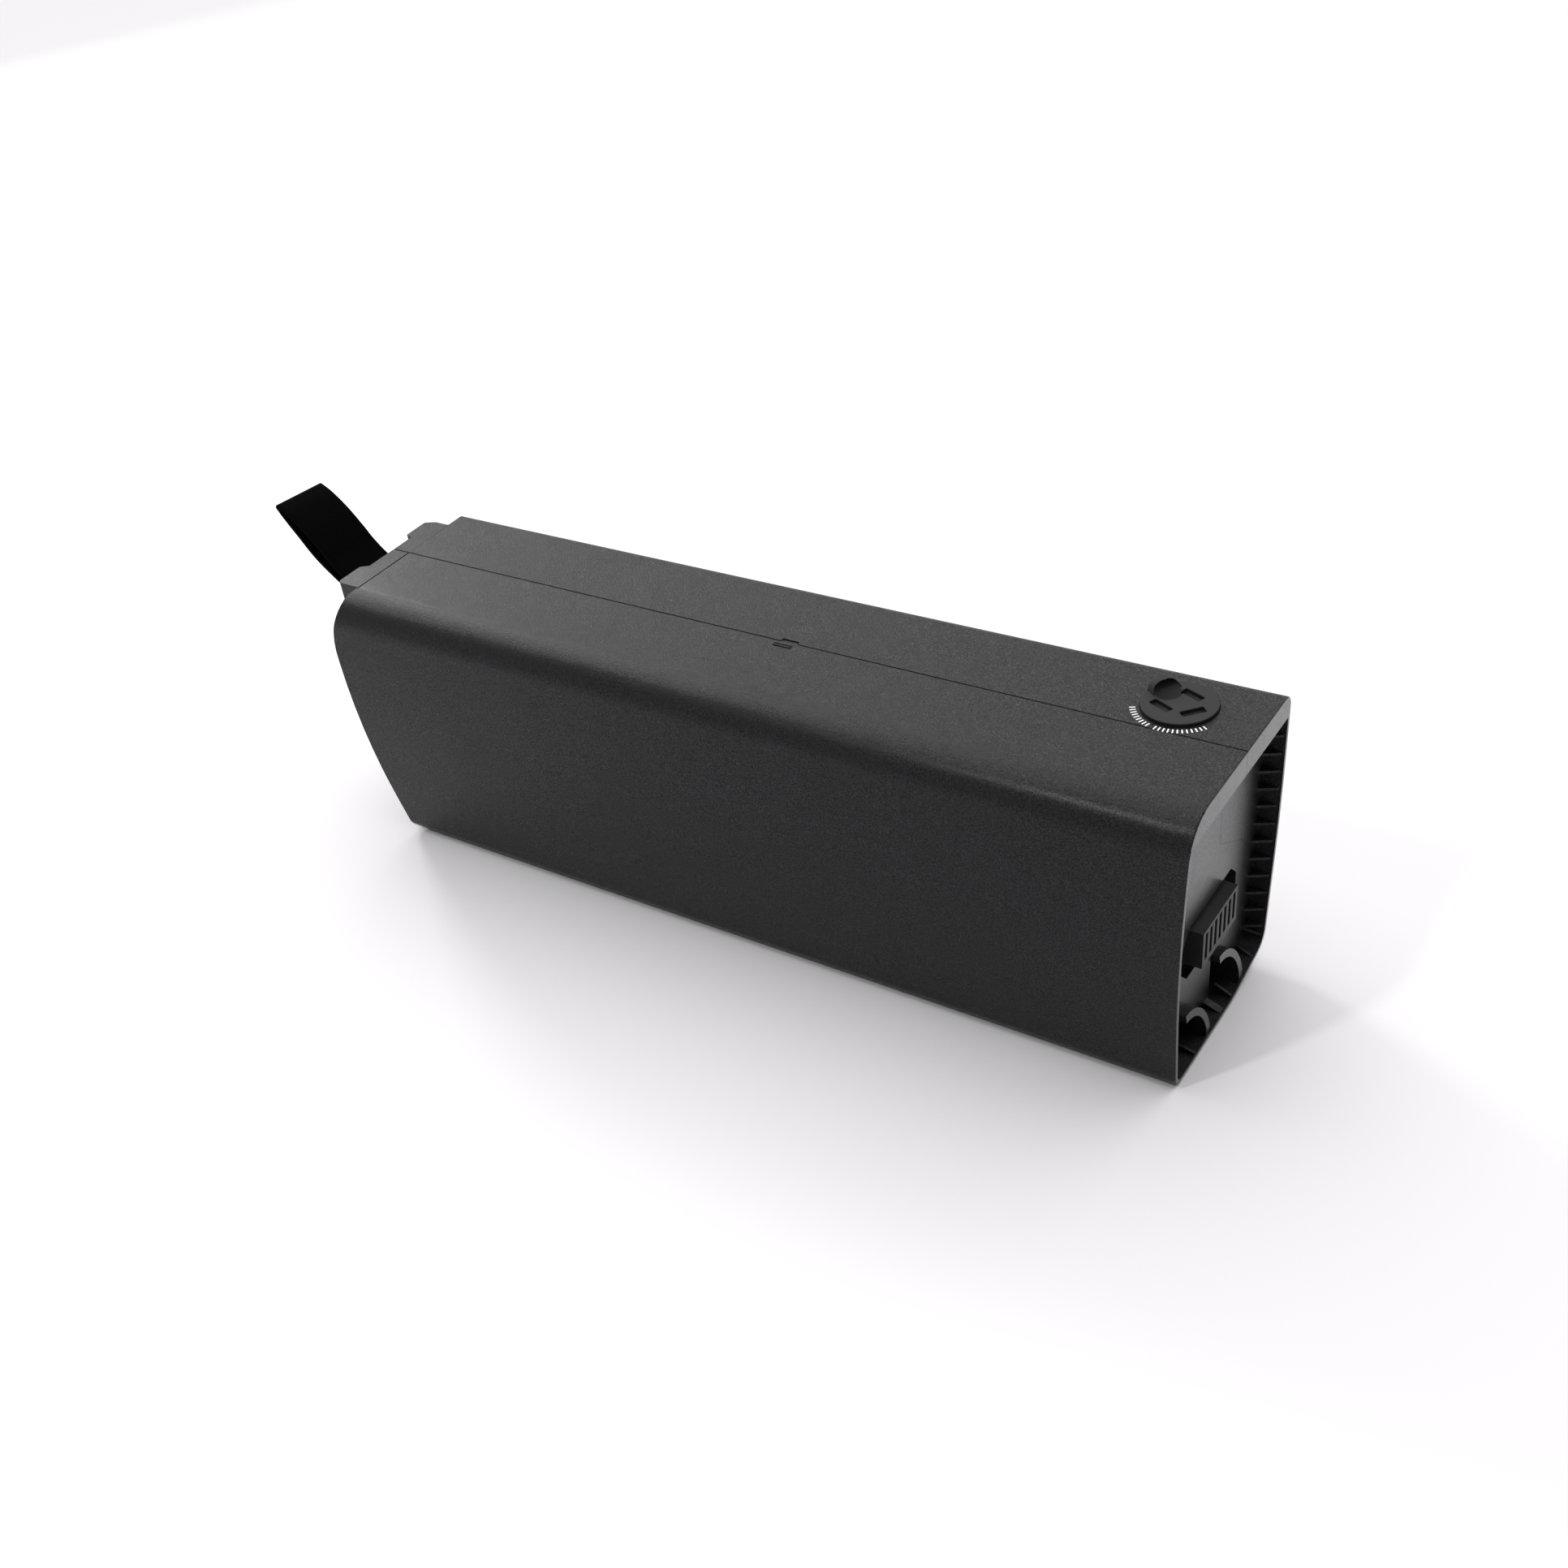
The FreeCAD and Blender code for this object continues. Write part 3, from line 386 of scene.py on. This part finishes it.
def fibre_card():
    """Pale green insulation card with its fibres along the pack."""
    g = Graph("insulation_card")
    fibres = g.noise(500.0, 4.0, 0.7, g.place((0.2, 1, 1)))
    return g.finish(Base_Color=g.blend(fibres, (0.22, 0.30, 0.20), (0.36, 0.44, 0.32)),
                    Roughness=0.75 + fibres * 0.12, Normal=g.bump(fibres, 0.05 * MM, 0.6))


def circuit_board():
    """Green solder mask over tracks."""
    g = Graph("circuit_board")
    tracks = g.out(g.node("ShaderNodeTexBrick", {"offset": 0.5}, {
        "Vector": g.place((1, 1, 1), (0, math.pi / 2, 0)), "Scale": 160.0, "Mortar Size": 0.03}), "Fac")
    cloud = g.noise(200.0, 2.0)
    tone = g.blend(tracks, (0.010, 0.085, 0.035), (0.020, 0.150, 0.060))
    return g.finish(Base_Color=tone, Roughness=0.3 + cloud * 0.15, Normal=g.bump(tracks, 0.03 * MM, 0.6))


# Darker tone, lighter tone, roughness, and how the drawn lines are stretched.
METALS = {
    "screw_steel": ((0.34, 0.34, 0.35), (0.52, 0.52, 0.53), 0.28, (1, 0.1, 1)),
    "nickel": ((0.50, 0.48, 0.44), (0.68, 0.66, 0.60), 0.25, (0.1, 1, 1)),
    "heat_sink_aluminium": ((0.62, 0.62, 0.63), (0.80, 0.80, 0.81), 0.32, (1, 1, 0.1)),
    "contact_brass": ((0.55, 0.40, 0.16), (0.80, 0.62, 0.30), 0.25, (0.1, 1, 1)),
}

# Darker tone, lighter tone and roughness.
MOULDINGS = {
    "cell_sleeve": ((0.05, 0.20, 0.36), (0.08, 0.28, 0.46), 0.25),
    "holder_plastic": ((0.03, 0.03, 0.03), (0.06, 0.06, 0.06), 0.5),
    "component_black": ((0.012, 0.012, 0.012), (0.03, 0.03, 0.03), 0.45),
    "header_plastic": ((0.60, 0.57, 0.48), (0.74, 0.71, 0.62), 0.4),
    "ribbon_lead": ((0.30, 0.30, 0.31), (0.44, 0.44, 0.45), 0.5),
    "fuse_plastic": ((0.05, 0.33, 0.09), (0.09, 0.44, 0.14), 0.15),
    "lead_red": ((0.33, 0.012, 0.012), (0.45, 0.02, 0.02), 0.5),
    "lead_black": ((0.012, 0.012, 0.012), (0.022, 0.022, 0.022), 0.5),
}

OWN_FINISHES = {
    "case_plastic": case_plastic,
    "connector_plastic": connector_plastic,
    "plug_rubber": plug_rubber,
    "seal_rubber": seal_rubber,
    "webbing": webbing,
    "foam": foam,
    "insulation_card": fibre_card,
    "circuit_board": circuit_board,
}


def finish_for(slot):
    """The finish of a material slot in the record, made the first time it is asked for."""
    made = bpy.data.materials.get("finish_" + slot)
    if made:
        return made
    if slot in METALS:
        made = metal(slot, *METALS[slot])
    elif slot in MOULDINGS:
        made = moulded(slot, *MOULDINGS[slot])
    else:
        made = OWN_FINISHES[slot]()
    made.name = "finish_" + slot
    return made


# ---------------------------------------------------------------- modelling helpers

MERGE_DISTANCE = 0.002 * MM
FLAT_ANGLE = math.radians(0.05)


def deselect():
    """Leave edit mode and select nothing."""
    if bpy.context.object and bpy.context.object.mode != "OBJECT":
        bpy.ops.object.mode_set(mode="OBJECT")
    bpy.ops.object.select_all(action="DESELECT")


def pick(obj):
    """Make obj the one selected and active object."""
    deselect()
    obj.select_set(True)
    bpy.context.view_layer.objects.active = obj


def settle(obj, name):
    """Name a piece and put its place into its mesh."""
    pick(obj)
    bpy.ops.object.transform_apply(location=True, rotation=True, scale=True)
    obj.name = name
    obj.data.name = name
    return obj


def modify(obj, kind, **values):
    """Add a modifier and apply it at once."""
    pick(obj)
    modifier = obj.modifiers.new(kind.lower(), kind)
    for key, value in values.items():
        setattr(modifier, key, value)
    bpy.ops.object.modifier_apply(modifier=modifier.name)


def cut(obj, tool, operation="DIFFERENCE"):
    """Cut a tool out of obj, or join it on, and throw the tool away."""
    modify(obj, "BOOLEAN", operation=operation, object=tool, solver="EXACT")
    bpy.data.objects.remove(tool)


def wear(obj, finish):
    """Give obj one material."""
    obj.data.materials.clear()
    obj.data.materials.append(finish)


def merged_copy(node, name, smooth_angle=32):
    """A copy of a CAD node with its split corners merged and its round faces smooth."""
    pick(frame["nodes"][node])
    bpy.ops.object.duplicate()
    copy = bpy.context.object
    copy.parent = None
    copy.matrix_world = Matrix.Identity(4)
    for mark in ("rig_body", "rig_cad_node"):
        del copy[mark]
    copy.name = name
    copy.data.name = name
    pick(copy)
    bpy.ops.mesh.customdata_custom_splitnormals_clear()
    bpy.ops.object.mode_set(mode="EDIT")
    bpy.ops.mesh.select_all(action="SELECT")
    bpy.ops.mesh.remove_doubles(threshold=MERGE_DISTANCE)
    bpy.ops.mesh.dissolve_limited(angle_limit=FLAT_ANGLE)
    bpy.ops.object.mode_set(mode="OBJECT")
    bpy.ops.object.shade_smooth_by_angle(angle=math.radians(smooth_angle))
    return copy


def place_piece(obj, body, slot, *nodes):
    """Ride a finished piece on its body, in place of the nodes it stands for."""
    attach(obj, body)
    if nodes:
        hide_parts(*nodes)


# ---------------------------------------------------------------- the pieces


class PACK_OT_stage(bpy.types.Operator):
    """Make the camera, the floor and the soft studio lights"""
    bl_idname = "pack.stage"
    bl_label = "Stage"

    # The camera's place in metres, turn in degrees and lens shift.
    EYE = (0.3388, -0.4493, 0.4416)
    TURN = (50.8973, 7.6351, 34.8317)
    SHIFT = (0.0567, 0.0802)
    SENSOR_WIDTH = 36

    FLOOR_SIZE = 40
    FLOOR_DROP = 0.5 * MM
    TAIL_TOP = (-0.17, -0.02, 0.108)
    CORNER_EDGE = (0.14, -0.033, 0.103)
    CORNER_AIM = (0.05, -0.033, 0.103)
    WORLD_STRENGTH = 0.28

    def light(self, name, place, aim, size, power):
        """A rectangular lamp that faces a point."""
        bpy.ops.object.light_add(type="AREA", location=place)
        lamp = bpy.context.object
        lamp.name = name
        lamp.data.shape = "RECTANGLE"
        lamp.data.size, lamp.data.size_y = size
        lamp.data.energy = power
        lamp.rotation_euler = (Vector(aim) - Vector(place)).to_track_quat("-Z", "Y").to_euler()

    def sun(self, name, azimuth, elevation, spread, strength):
        """A broad soft sky light from one direction."""
        place = self.away((0, 0, 0), azimuth, elevation, 3)
        bpy.ops.object.light_add(type="SUN", location=place)
        lamp = bpy.context.object
        lamp.name = name
        lamp.data.energy = strength
        lamp.data.angle = math.radians(spread)
        lamp.rotation_euler = (-place).to_track_quat("-Z", "Y").to_euler()

    def away(self, start, azimuth, elevation, distance):
        """The point at a distance from start in a compass direction, azimuth 0 along +X."""
        a, e = math.radians(azimuth), math.radians(elevation)
        heading = Vector((math.cos(a) * math.cos(e), math.sin(a) * math.cos(e), math.sin(e)))
        return Vector(start) + distance * heading

    def camera(self, context):
        bpy.ops.object.camera_add(location=self.EYE, rotation=[math.radians(a) for a in self.TURN])
        camera = bpy.context.object
        camera.data.lens = settings().stage.lens
        camera.data.sensor_width = self.SENSOR_WIDTH
        camera.data.shift_x, camera.data.shift_y = self.SHIFT
        camera.data.clip_start = 0.01
        context.scene.camera = camera

    def floor(self):
        bpy.ops.mesh.primitive_plane_add(size=self.FLOOR_SIZE, location=(0, 0, -self.FLOOR_DROP))
        floor = bpy.context.object
        floor.name = "floor"
        tone = tuple(settings().stage.floor)
        g = Graph("floor_paper")
        mottle = g.noise(3.0, 2.0)
        wear(floor, g.finish(Base_Color=g.blend(mottle, tone, lighter(tone, 1.01)),
                             Roughness=0.9, Specular_IOR_Level=0.1))

    def lights(self):
        self.sun("key_sky", 108, 64, 96, 3.2)
        tail_place = self.away(self.TAIL_TOP, 150, 24, 1.6)
        self.light("tail_softbox", tail_place, self.TAIL_TOP, (0.32, 0.25), 11)
        corner_place = self.away(self.CORNER_EDGE, 240, 50, 1.4)
        self.light("corner_strip", corner_place, self.CORNER_AIM, (0.08, 0.08), 4)

    def world(self, context):
        world = bpy.data.worlds.new("studio")
        context.scene.world = world
        world.use_nodes = True
        background = world.node_tree.nodes["Background"]
        background.inputs["Color"].default_value = (1, 1, 1, 1)
        background.inputs["Strength"].default_value = self.WORLD_STRENGTH
        context.scene.view_settings.view_transform = "Standard"

    def execute(self, context):
        deselect()
        self.camera(context)
        self.floor()
        self.lights()
        self.world(context)
        return {"FINISHED"}


class PACK_OT_case_halves(bpy.types.Operator):
    """Finish the two moulded halves of the case"""
    bl_idname = "pack.case_halves"
    bl_label = "Case halves"

    HALVES = [("shell_near", "case_half_near"), ("shell_far", "case_half_far")]
    FACING_OUT = 0.8

    def mark_end_faces(self, half):
        """Tell the finish which faces are the end panel and the rim."""
        marks = half.data.attributes.new("end_face", "FLOAT", "FACE")
        for face in half.data.polygons:
            is_end = face.normal.x > self.FACING_OUT and face.center.x > END_PANEL_X - MM
            marks.data[face.index].value = float(is_end)

    def execute(self, context):
        for node, name in self.HALVES:
            half = merged_copy(node, name)
            self.mark_end_faces(half)
            modify(half, "WEIGHTED_NORMAL", keep_sharp=True, weight=60)
            wear(half, finish_for("case_plastic"))
            place_piece(half, "case", "case_plastic", node)
        return {"FINISHED"}


class PACK_OT_tail_block(bpy.types.Operator):
    """Finish the tabbed block that the strap comes out of"""
    bl_idname = "pack.tail_block"
    bl_label = "Tail block"

    def execute(self, context):
        block = merged_copy("strap_block", "tail_block", 40)
        modify(block, "BEVEL", width=settings().case.tail_bevel, segments=2, limit_method="ANGLE",
               angle_limit=math.radians(35), use_clamp_overlap=True)
        modify(block, "WEIGHTED_NORMAL", keep_sharp=True)
        wear(block, finish_for("case_plastic"))
        place_piece(block, "case", "case_plastic", "strap_block")
        return {"FINISHED"}


class PACK_OT_pull_strap(bpy.types.Operator):
    """Fold the webbing loop over its pin"""
    bl_idname = "pack.pull_strap"
    bl_label = "Pull strap"

    # Middle of the webbing in side view, in millimetres from the pin, X then Z.
    WRAP_RADIUS = 2.85
    WRAP_ANGLES = (-55, -20, 20, 60, 95, 125)
    UPPER = [(-9.5, 8.6), (-18.9, 15.5), (-24.9, 21.0), (-29.3, 26.4), (-35.8, 33.6), (-42.6, 39.4),
             (-47.6, 42.3)]
    TIP = (-48.9, 42.7)
    LOWER = [(-48.4, 41.6), (-46.1, 38.2), (-40.6, 31.2), (-33.9, 22.9), (-25.0, 15.3), (-12.5, 6.2)]
    STATIONS = 260
    STEPS = 24
    COLUMNS = 12

    # How far the near edge runs ahead of the far edge at the tip.
    SKEW = Vector((-1.1, 0, 1.5)) * MM
    SIDE_GAP = 0.3 * MM
    EDGE_ROUNDING = 0.3 * MM

    def route(self):
        wrap = [(self.WRAP_RADIUS * math.cos(math.radians(a)), self.WRAP_RADIUS * math.sin(math.radians(a)))
                for a in self.WRAP_ANGLES]
        return [Vector((u, 0, v)) * MM for u, v in wrap + self.UPPER + [self.TIP] + self.LOWER]

    def smooth_route(self):
        """Points evenly spaced along a closed curve through the route, and its length."""
        points = self.route()
        count = len(points)
        fine = []
        for i in range(count):
            a, b, c, d = (points[(i + k) % count] for k in (-1, 0, 1, 2))
            for step in range(self.STEPS):
                t = step / self.STEPS
                fine.append(0.5 * (2 * b + (c - a) * t + (2 * a - 5 * b + 4 * c - d) * t ** 2
                                   + (3 * b - a - 3 * c + d) * t ** 3))
        fine.append(fine[0])
        reach = [0.0]
        for p, q in zip(fine, fine[1:]):
            reach.append(reach[-1] + (q - p).length)
        even = []
        j = 0
        for i in range(self.STATIONS + 1):
            want = reach[-1] * i / self.STATIONS
            while reach[j + 1] < want and j < len(reach) - 2:
                j += 1
            t = (want - reach[j]) / (reach[j + 1] - reach[j])
            even.append(fine[j].lerp(fine[j + 1], t))
        return even, reach[-1]

    def execute(self, context):
        deselect()
        look = settings().strap
        even, length = self.smooth_route()
        width = STRAP_WIDTH - self.SIDE_GAP
        bpy.ops.mesh.primitive_grid_add(x_subdivisions=self.COLUMNS, y_subdivisions=self.STATIONS, size=1)
        strap = bpy.context.object
        uv = strap.data.uv_layers.new(name="along_strap")
        for loop in strap.data.loops:
            co = strap.data.vertices[loop.vertex_index].co
            uv.data[loop.index].uv = ((co.x + 0.5) * width, (co.y + 0.5) * length)
        reach = max(point.length for point in even)
        for vertex in strap.data.vertices:
            point = even[round((vertex.co.y + 0.5) * self.STATIONS)]
            lean = self.SKEW * (0.5 - vertex.co.x) * (point.length / reach) ** 2
            vertex.co = STRAP_PIN + point + lean + Vector((0, vertex.co.x * width, 0))
        pick(strap)
        bpy.ops.object.mode_set(mode="EDIT")
        bpy.ops.mesh.select_all(action="SELECT")
        bpy.ops.mesh.remove_doubles(threshold=0.001 * MM)
        bpy.ops.object.mode_set(mode="OBJECT")
        modify(strap, "SOLIDIFY", thickness=look.thickness, offset=0, use_even_offset=False)
        modify(strap, "BEVEL", width=self.EDGE_ROUNDING, segments=2, limit_method="ANGLE",
               angle_limit=math.radians(50))
        pick(strap)
        bpy.ops.object.shade_smooth()
        settle(strap, "webbing_loop")
        wear(strap, finish_for("webbing"))
        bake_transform(strap)
        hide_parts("strap")
        return {"FINISHED"}


class PACK_OT_port_plug(bpy.types.Operator):
    """Model the rubber plug of the charge port"""
    bl_idname = "pack.port_plug"
    bl_label = "Port plug"

    # Radii, heights and reaches in millimetres; turns in degrees.
    NECK_HEIGHT = 6
    NECK_RADIUS = 7.5
    BEAD_DROPS = (2.0, 4.4)
    BEAD_RADIUS = 7.95
    BEAD_HEIGHT = 0.8
    HOLLOW_RADIUS = 6.3
    TAB_TURN = 144.0
    TAB_RADIUS = 5.7
    TAB_RISE = 3.9
    TAB_REACH = 10.0
    TAB_THICKNESS = 4.6
    SCOOP_REACH = 6.3
    SCOOP_RISE = 1.6
    SCOOP_SIZE = (4.4, 5.4, 2.9)

    # Pockets in the cap: X and Y from its centre in millimetres, and their turn in degrees.
    POCKETS = [(-4.8, -3.9, -25.0), (1.9, 5.8, -22.0), (5.9, -3.3, 46.0)]
    POCKET_SIZE = (8.2, 3.0, 1.6)
    VOXEL = 0.2 * MM

    def cylinder(self, radius, low, high, rings=96):
        """An upright cylinder over the middle of the port."""
        bpy.ops.mesh.primitive_cylinder_add(vertices=rings, radius=radius, depth=high - low,
                                            location=(PORT.x, PORT.y, (low + high) / 2))
        return bpy.context.object

    def cap_and_neck(self, seat, top):
        """The cap on its hollow neck, with two sealing beads."""
        plug = self.cylinder(settings().plug.radius, seat, top)
        plug.name = "plug_cap"
        neck = self.cylinder(self.NECK_RADIUS * MM, PLUG_FOOT + 0.2 * MM, seat + 0.5 * MM, 64)
        cut(plug, neck, "UNION")
        for drop in self.BEAD_DROPS:
            bead_top = seat - drop * MM
            bead = self.cylinder(self.BEAD_RADIUS * MM, bead_top - self.BEAD_HEIGHT * MM, bead_top, 64)
            cut(plug, bead, "UNION")
        hollow = self.cylinder(self.HOLLOW_RADIUS * MM, PLUG_FOOT - 1 * MM, seat - 0.8 * MM, 64)
        cut(plug, hollow)
        return plug

    def finger_tab(self, plug, top, out):
        """The round ear at the rim, trimmed to the cap's own outline."""
        rise = top + (self.TAB_RISE - self.TAB_RADIUS) * MM
        centre = Vector((PORT.x, PORT.y, rise)) + out * self.TAB_REACH * MM
        bpy.ops.mesh.primitive_cylinder_add(
            vertices=72, radius=self.TAB_RADIUS * MM, depth=self.TAB_THICKNESS * MM,
            location=centre, rotation=out.to_track_quat("Z", "Y").to_euler())
        ear = bpy.context.object
        ear.name = "plug_ear"
        bound = self.cylinder(settings().plug.radius, top - 2 * MM, top + 9 * MM)
        cut(ear, bound, "INTERSECT")
        cut(plug, ear, "UNION")

    def finger_scoop(self, plug, top, out, turn):
        """The hollow in front of the ear that a fingertip goes into."""
        centre = Vector((PORT.x, PORT.y, top + self.SCOOP_RISE * MM)) + out * self.SCOOP_REACH * MM
        bpy.ops.mesh.primitive_uv_sphere_add(segments=48, ring_count=24, radius=1,
                                             location=centre, rotation=(0, 0, turn))
        scoop = bpy.context.object
        scoop.scale = [side * MM for side in self.SCOOP_SIZE]
        cut(plug, scoop)

    def pockets(self, plug, top):
        """Three shallow slots moulded into the cap."""
        long_side, short_side, depth = self.POCKET_SIZE
        for u, v, degrees in self.POCKETS:
            bpy.ops.mesh.primitive_cube_add(size=1, location=(PORT.x + u * MM, PORT.y + v * MM, top),
                                            rotation=(0, 0, math.radians(degrees)))
            pocket = bpy.context.object
            pocket.scale = (long_side * MM, short_side * MM, 2 * depth * MM)
            cut(plug, pocket)

    def execute(self, context):
        deselect()
        seat = PLUG_FOOT + self.NECK_HEIGHT * MM
        top = seat + settings().plug.cap_height
        turn = math.radians(self.TAB_TURN)
        out = Vector((math.cos(turn), math.sin(turn), 0))
        plug = self.cap_and_neck(seat, top)
        self.finger_tab(plug, top, out)
        self.finger_scoop(plug, top, out, turn)
        self.pockets(plug, top)
        modify(plug, "REMESH", mode="VOXEL", voxel_size=self.VOXEL, adaptivity=0)
        modify(plug, "SMOOTH", factor=0.5, iterations=5)
        pick(plug)
        bpy.ops.object.shade_smooth()
        settle(plug, "port_plug")
        wear(plug, finish_for("plug_rubber"))
        place_piece(plug, "plug", "plug_rubber", "charge_plug")
        return {"FINISHED"}


class PACK_OT_port_marks(bpy.types.Operator):
    """Print a plain arc of ticks beside the charge port"""
    bl_idname = "pack.port_marks"
    bl_label = "Port marks"

    RADIUS = 15.1 * MM
    HEIGHT = 2.0 * MM
    WIDTH = 0.50 * MM
    LIFT = 0.015 * MM
    INK = 0.04 * MM

    # First angle, last angle and number of ticks of each run.
    RUNS = [(-153.0, -109.0, 9), (-98.0, -36.0, 12)]

    def tick(self, angle):
        """One short radial bar of ink."""
        bpy.ops.mesh.primitive_plane_add(size=1)
        bar = bpy.context.object
        turn = Matrix.Rotation(math.radians(angle), 3, "Z")
        for vertex in bar.data.vertices:
            flat = Vector((self.RADIUS + vertex.co.x * self.HEIGHT, vertex.co.y * self.WIDTH, self.LIFT))
            vertex.co = PORT + turn @ flat
        return bar

    def execute(self, context):
        deselect()
        bars = []
        for low, high, count in self.RUNS:
            for i in range(count):
                bars.append(self.tick(low + (high - low) * i / (count - 1)))
        pick(bars[0])
        for bar in bars[1:]:
            bar.select_set(True)
        bpy.ops.object.join()
        marks = settle(bpy.context.object, "port_marks")
        modify(marks, "SOLIDIFY", thickness=self.INK, offset=1)
        wear(marks, print_ink())
        place_piece(marks, "case", "case_plastic")
        return {"FINISHED"}


class PACK_OT_end_socket(bpy.types.Operator):
    """Finish the comb-fronted discharge socket in the end panel"""
    bl_idname = "pack.end_socket"
    bl_label = "End socket"

    EDGE_ROUNDING = 0.14 * MM

    def execute(self, context):
        nose = merged_copy("discharge_connector", "comb_socket")
        modify(nose, "BEVEL", width=self.EDGE_ROUNDING, segments=2, limit_method="ANGLE",
               angle_limit=math.radians(40), use_clamp_overlap=True)
        modify(nose, "WEIGHTED_NORMAL", keep_sharp=True)
        wear(nose, finish_for("connector_plastic"))
        place_piece(nose, "case", "connector_plastic", "discharge_connector")
        return {"FINISHED"}


class PACK_OT_inner_parts(bpy.types.Operator):
    """Give every remaining CAD part its finish"""
    bl_idname = "pack.inner_parts"
    bl_label = "Inner parts"

    def execute(self, context):
        slots = {part["node"]: part["material_slot"] for part in frame["record"]["subparts"]}
        for node, obj in frame["nodes"].items():
            if obj.hide_render:
                continue
            finish = finish_for(slots[node])
            for slot in obj.material_slots:
                slot.material = finish
        return {"FINISHED"}


OPERATORS = [
    PACK_OT_stage, PACK_OT_case_halves, PACK_OT_tail_block, PACK_OT_pull_strap,
    PACK_OT_port_plug, PACK_OT_port_marks, PACK_OT_end_socket, PACK_OT_inner_parts,
]


class PACK_PT_panel(bpy.types.Panel):
    """Lists the pack's settings and the steps that make it"""
    bl_label = "Battery Pack"
    bl_space_type = "VIEW_3D"
    bl_region_type = "UI"
    bl_category = "Battery Pack"

    def draw(self, context):
        groups = context.scene.battery_pack
        for group in (groups.case, groups.strap, groups.plug, groups.stage):
            box = self.layout.box()
            for name in group.__annotations__:
                box.prop(group, name)
        for operator in OPERATORS:
            self.layout.operator(operator.bl_idname)


GROUPS = [PackCaseSettings, PackStrapSettings, PackPlugSettings, PackStageSettings, PackSettings]


def register():
    for cls in GROUPS + OPERATORS + [PACK_PT_panel]:
        bpy.utils.register_class(cls)
    bpy.types.Scene.battery_pack = bpy.props.PointerProperty(type=PackSettings)


def unregister():
    del bpy.types.Scene.battery_pack
    for cls in reversed(GROUPS + OPERATORS + [PACK_PT_panel]):
        bpy.utils.unregister_class(cls)


def main():
    register()
    bpy.ops.pack.stage()
    bpy.ops.pack.case_halves()
    bpy.ops.pack.tail_block()
    bpy.ops.pack.pull_strap()
    bpy.ops.pack.port_plug()
    bpy.ops.pack.port_marks()
    bpy.ops.pack.end_socket()
    bpy.ops.pack.inner_parts()


if __name__ == "__main__":
    main()
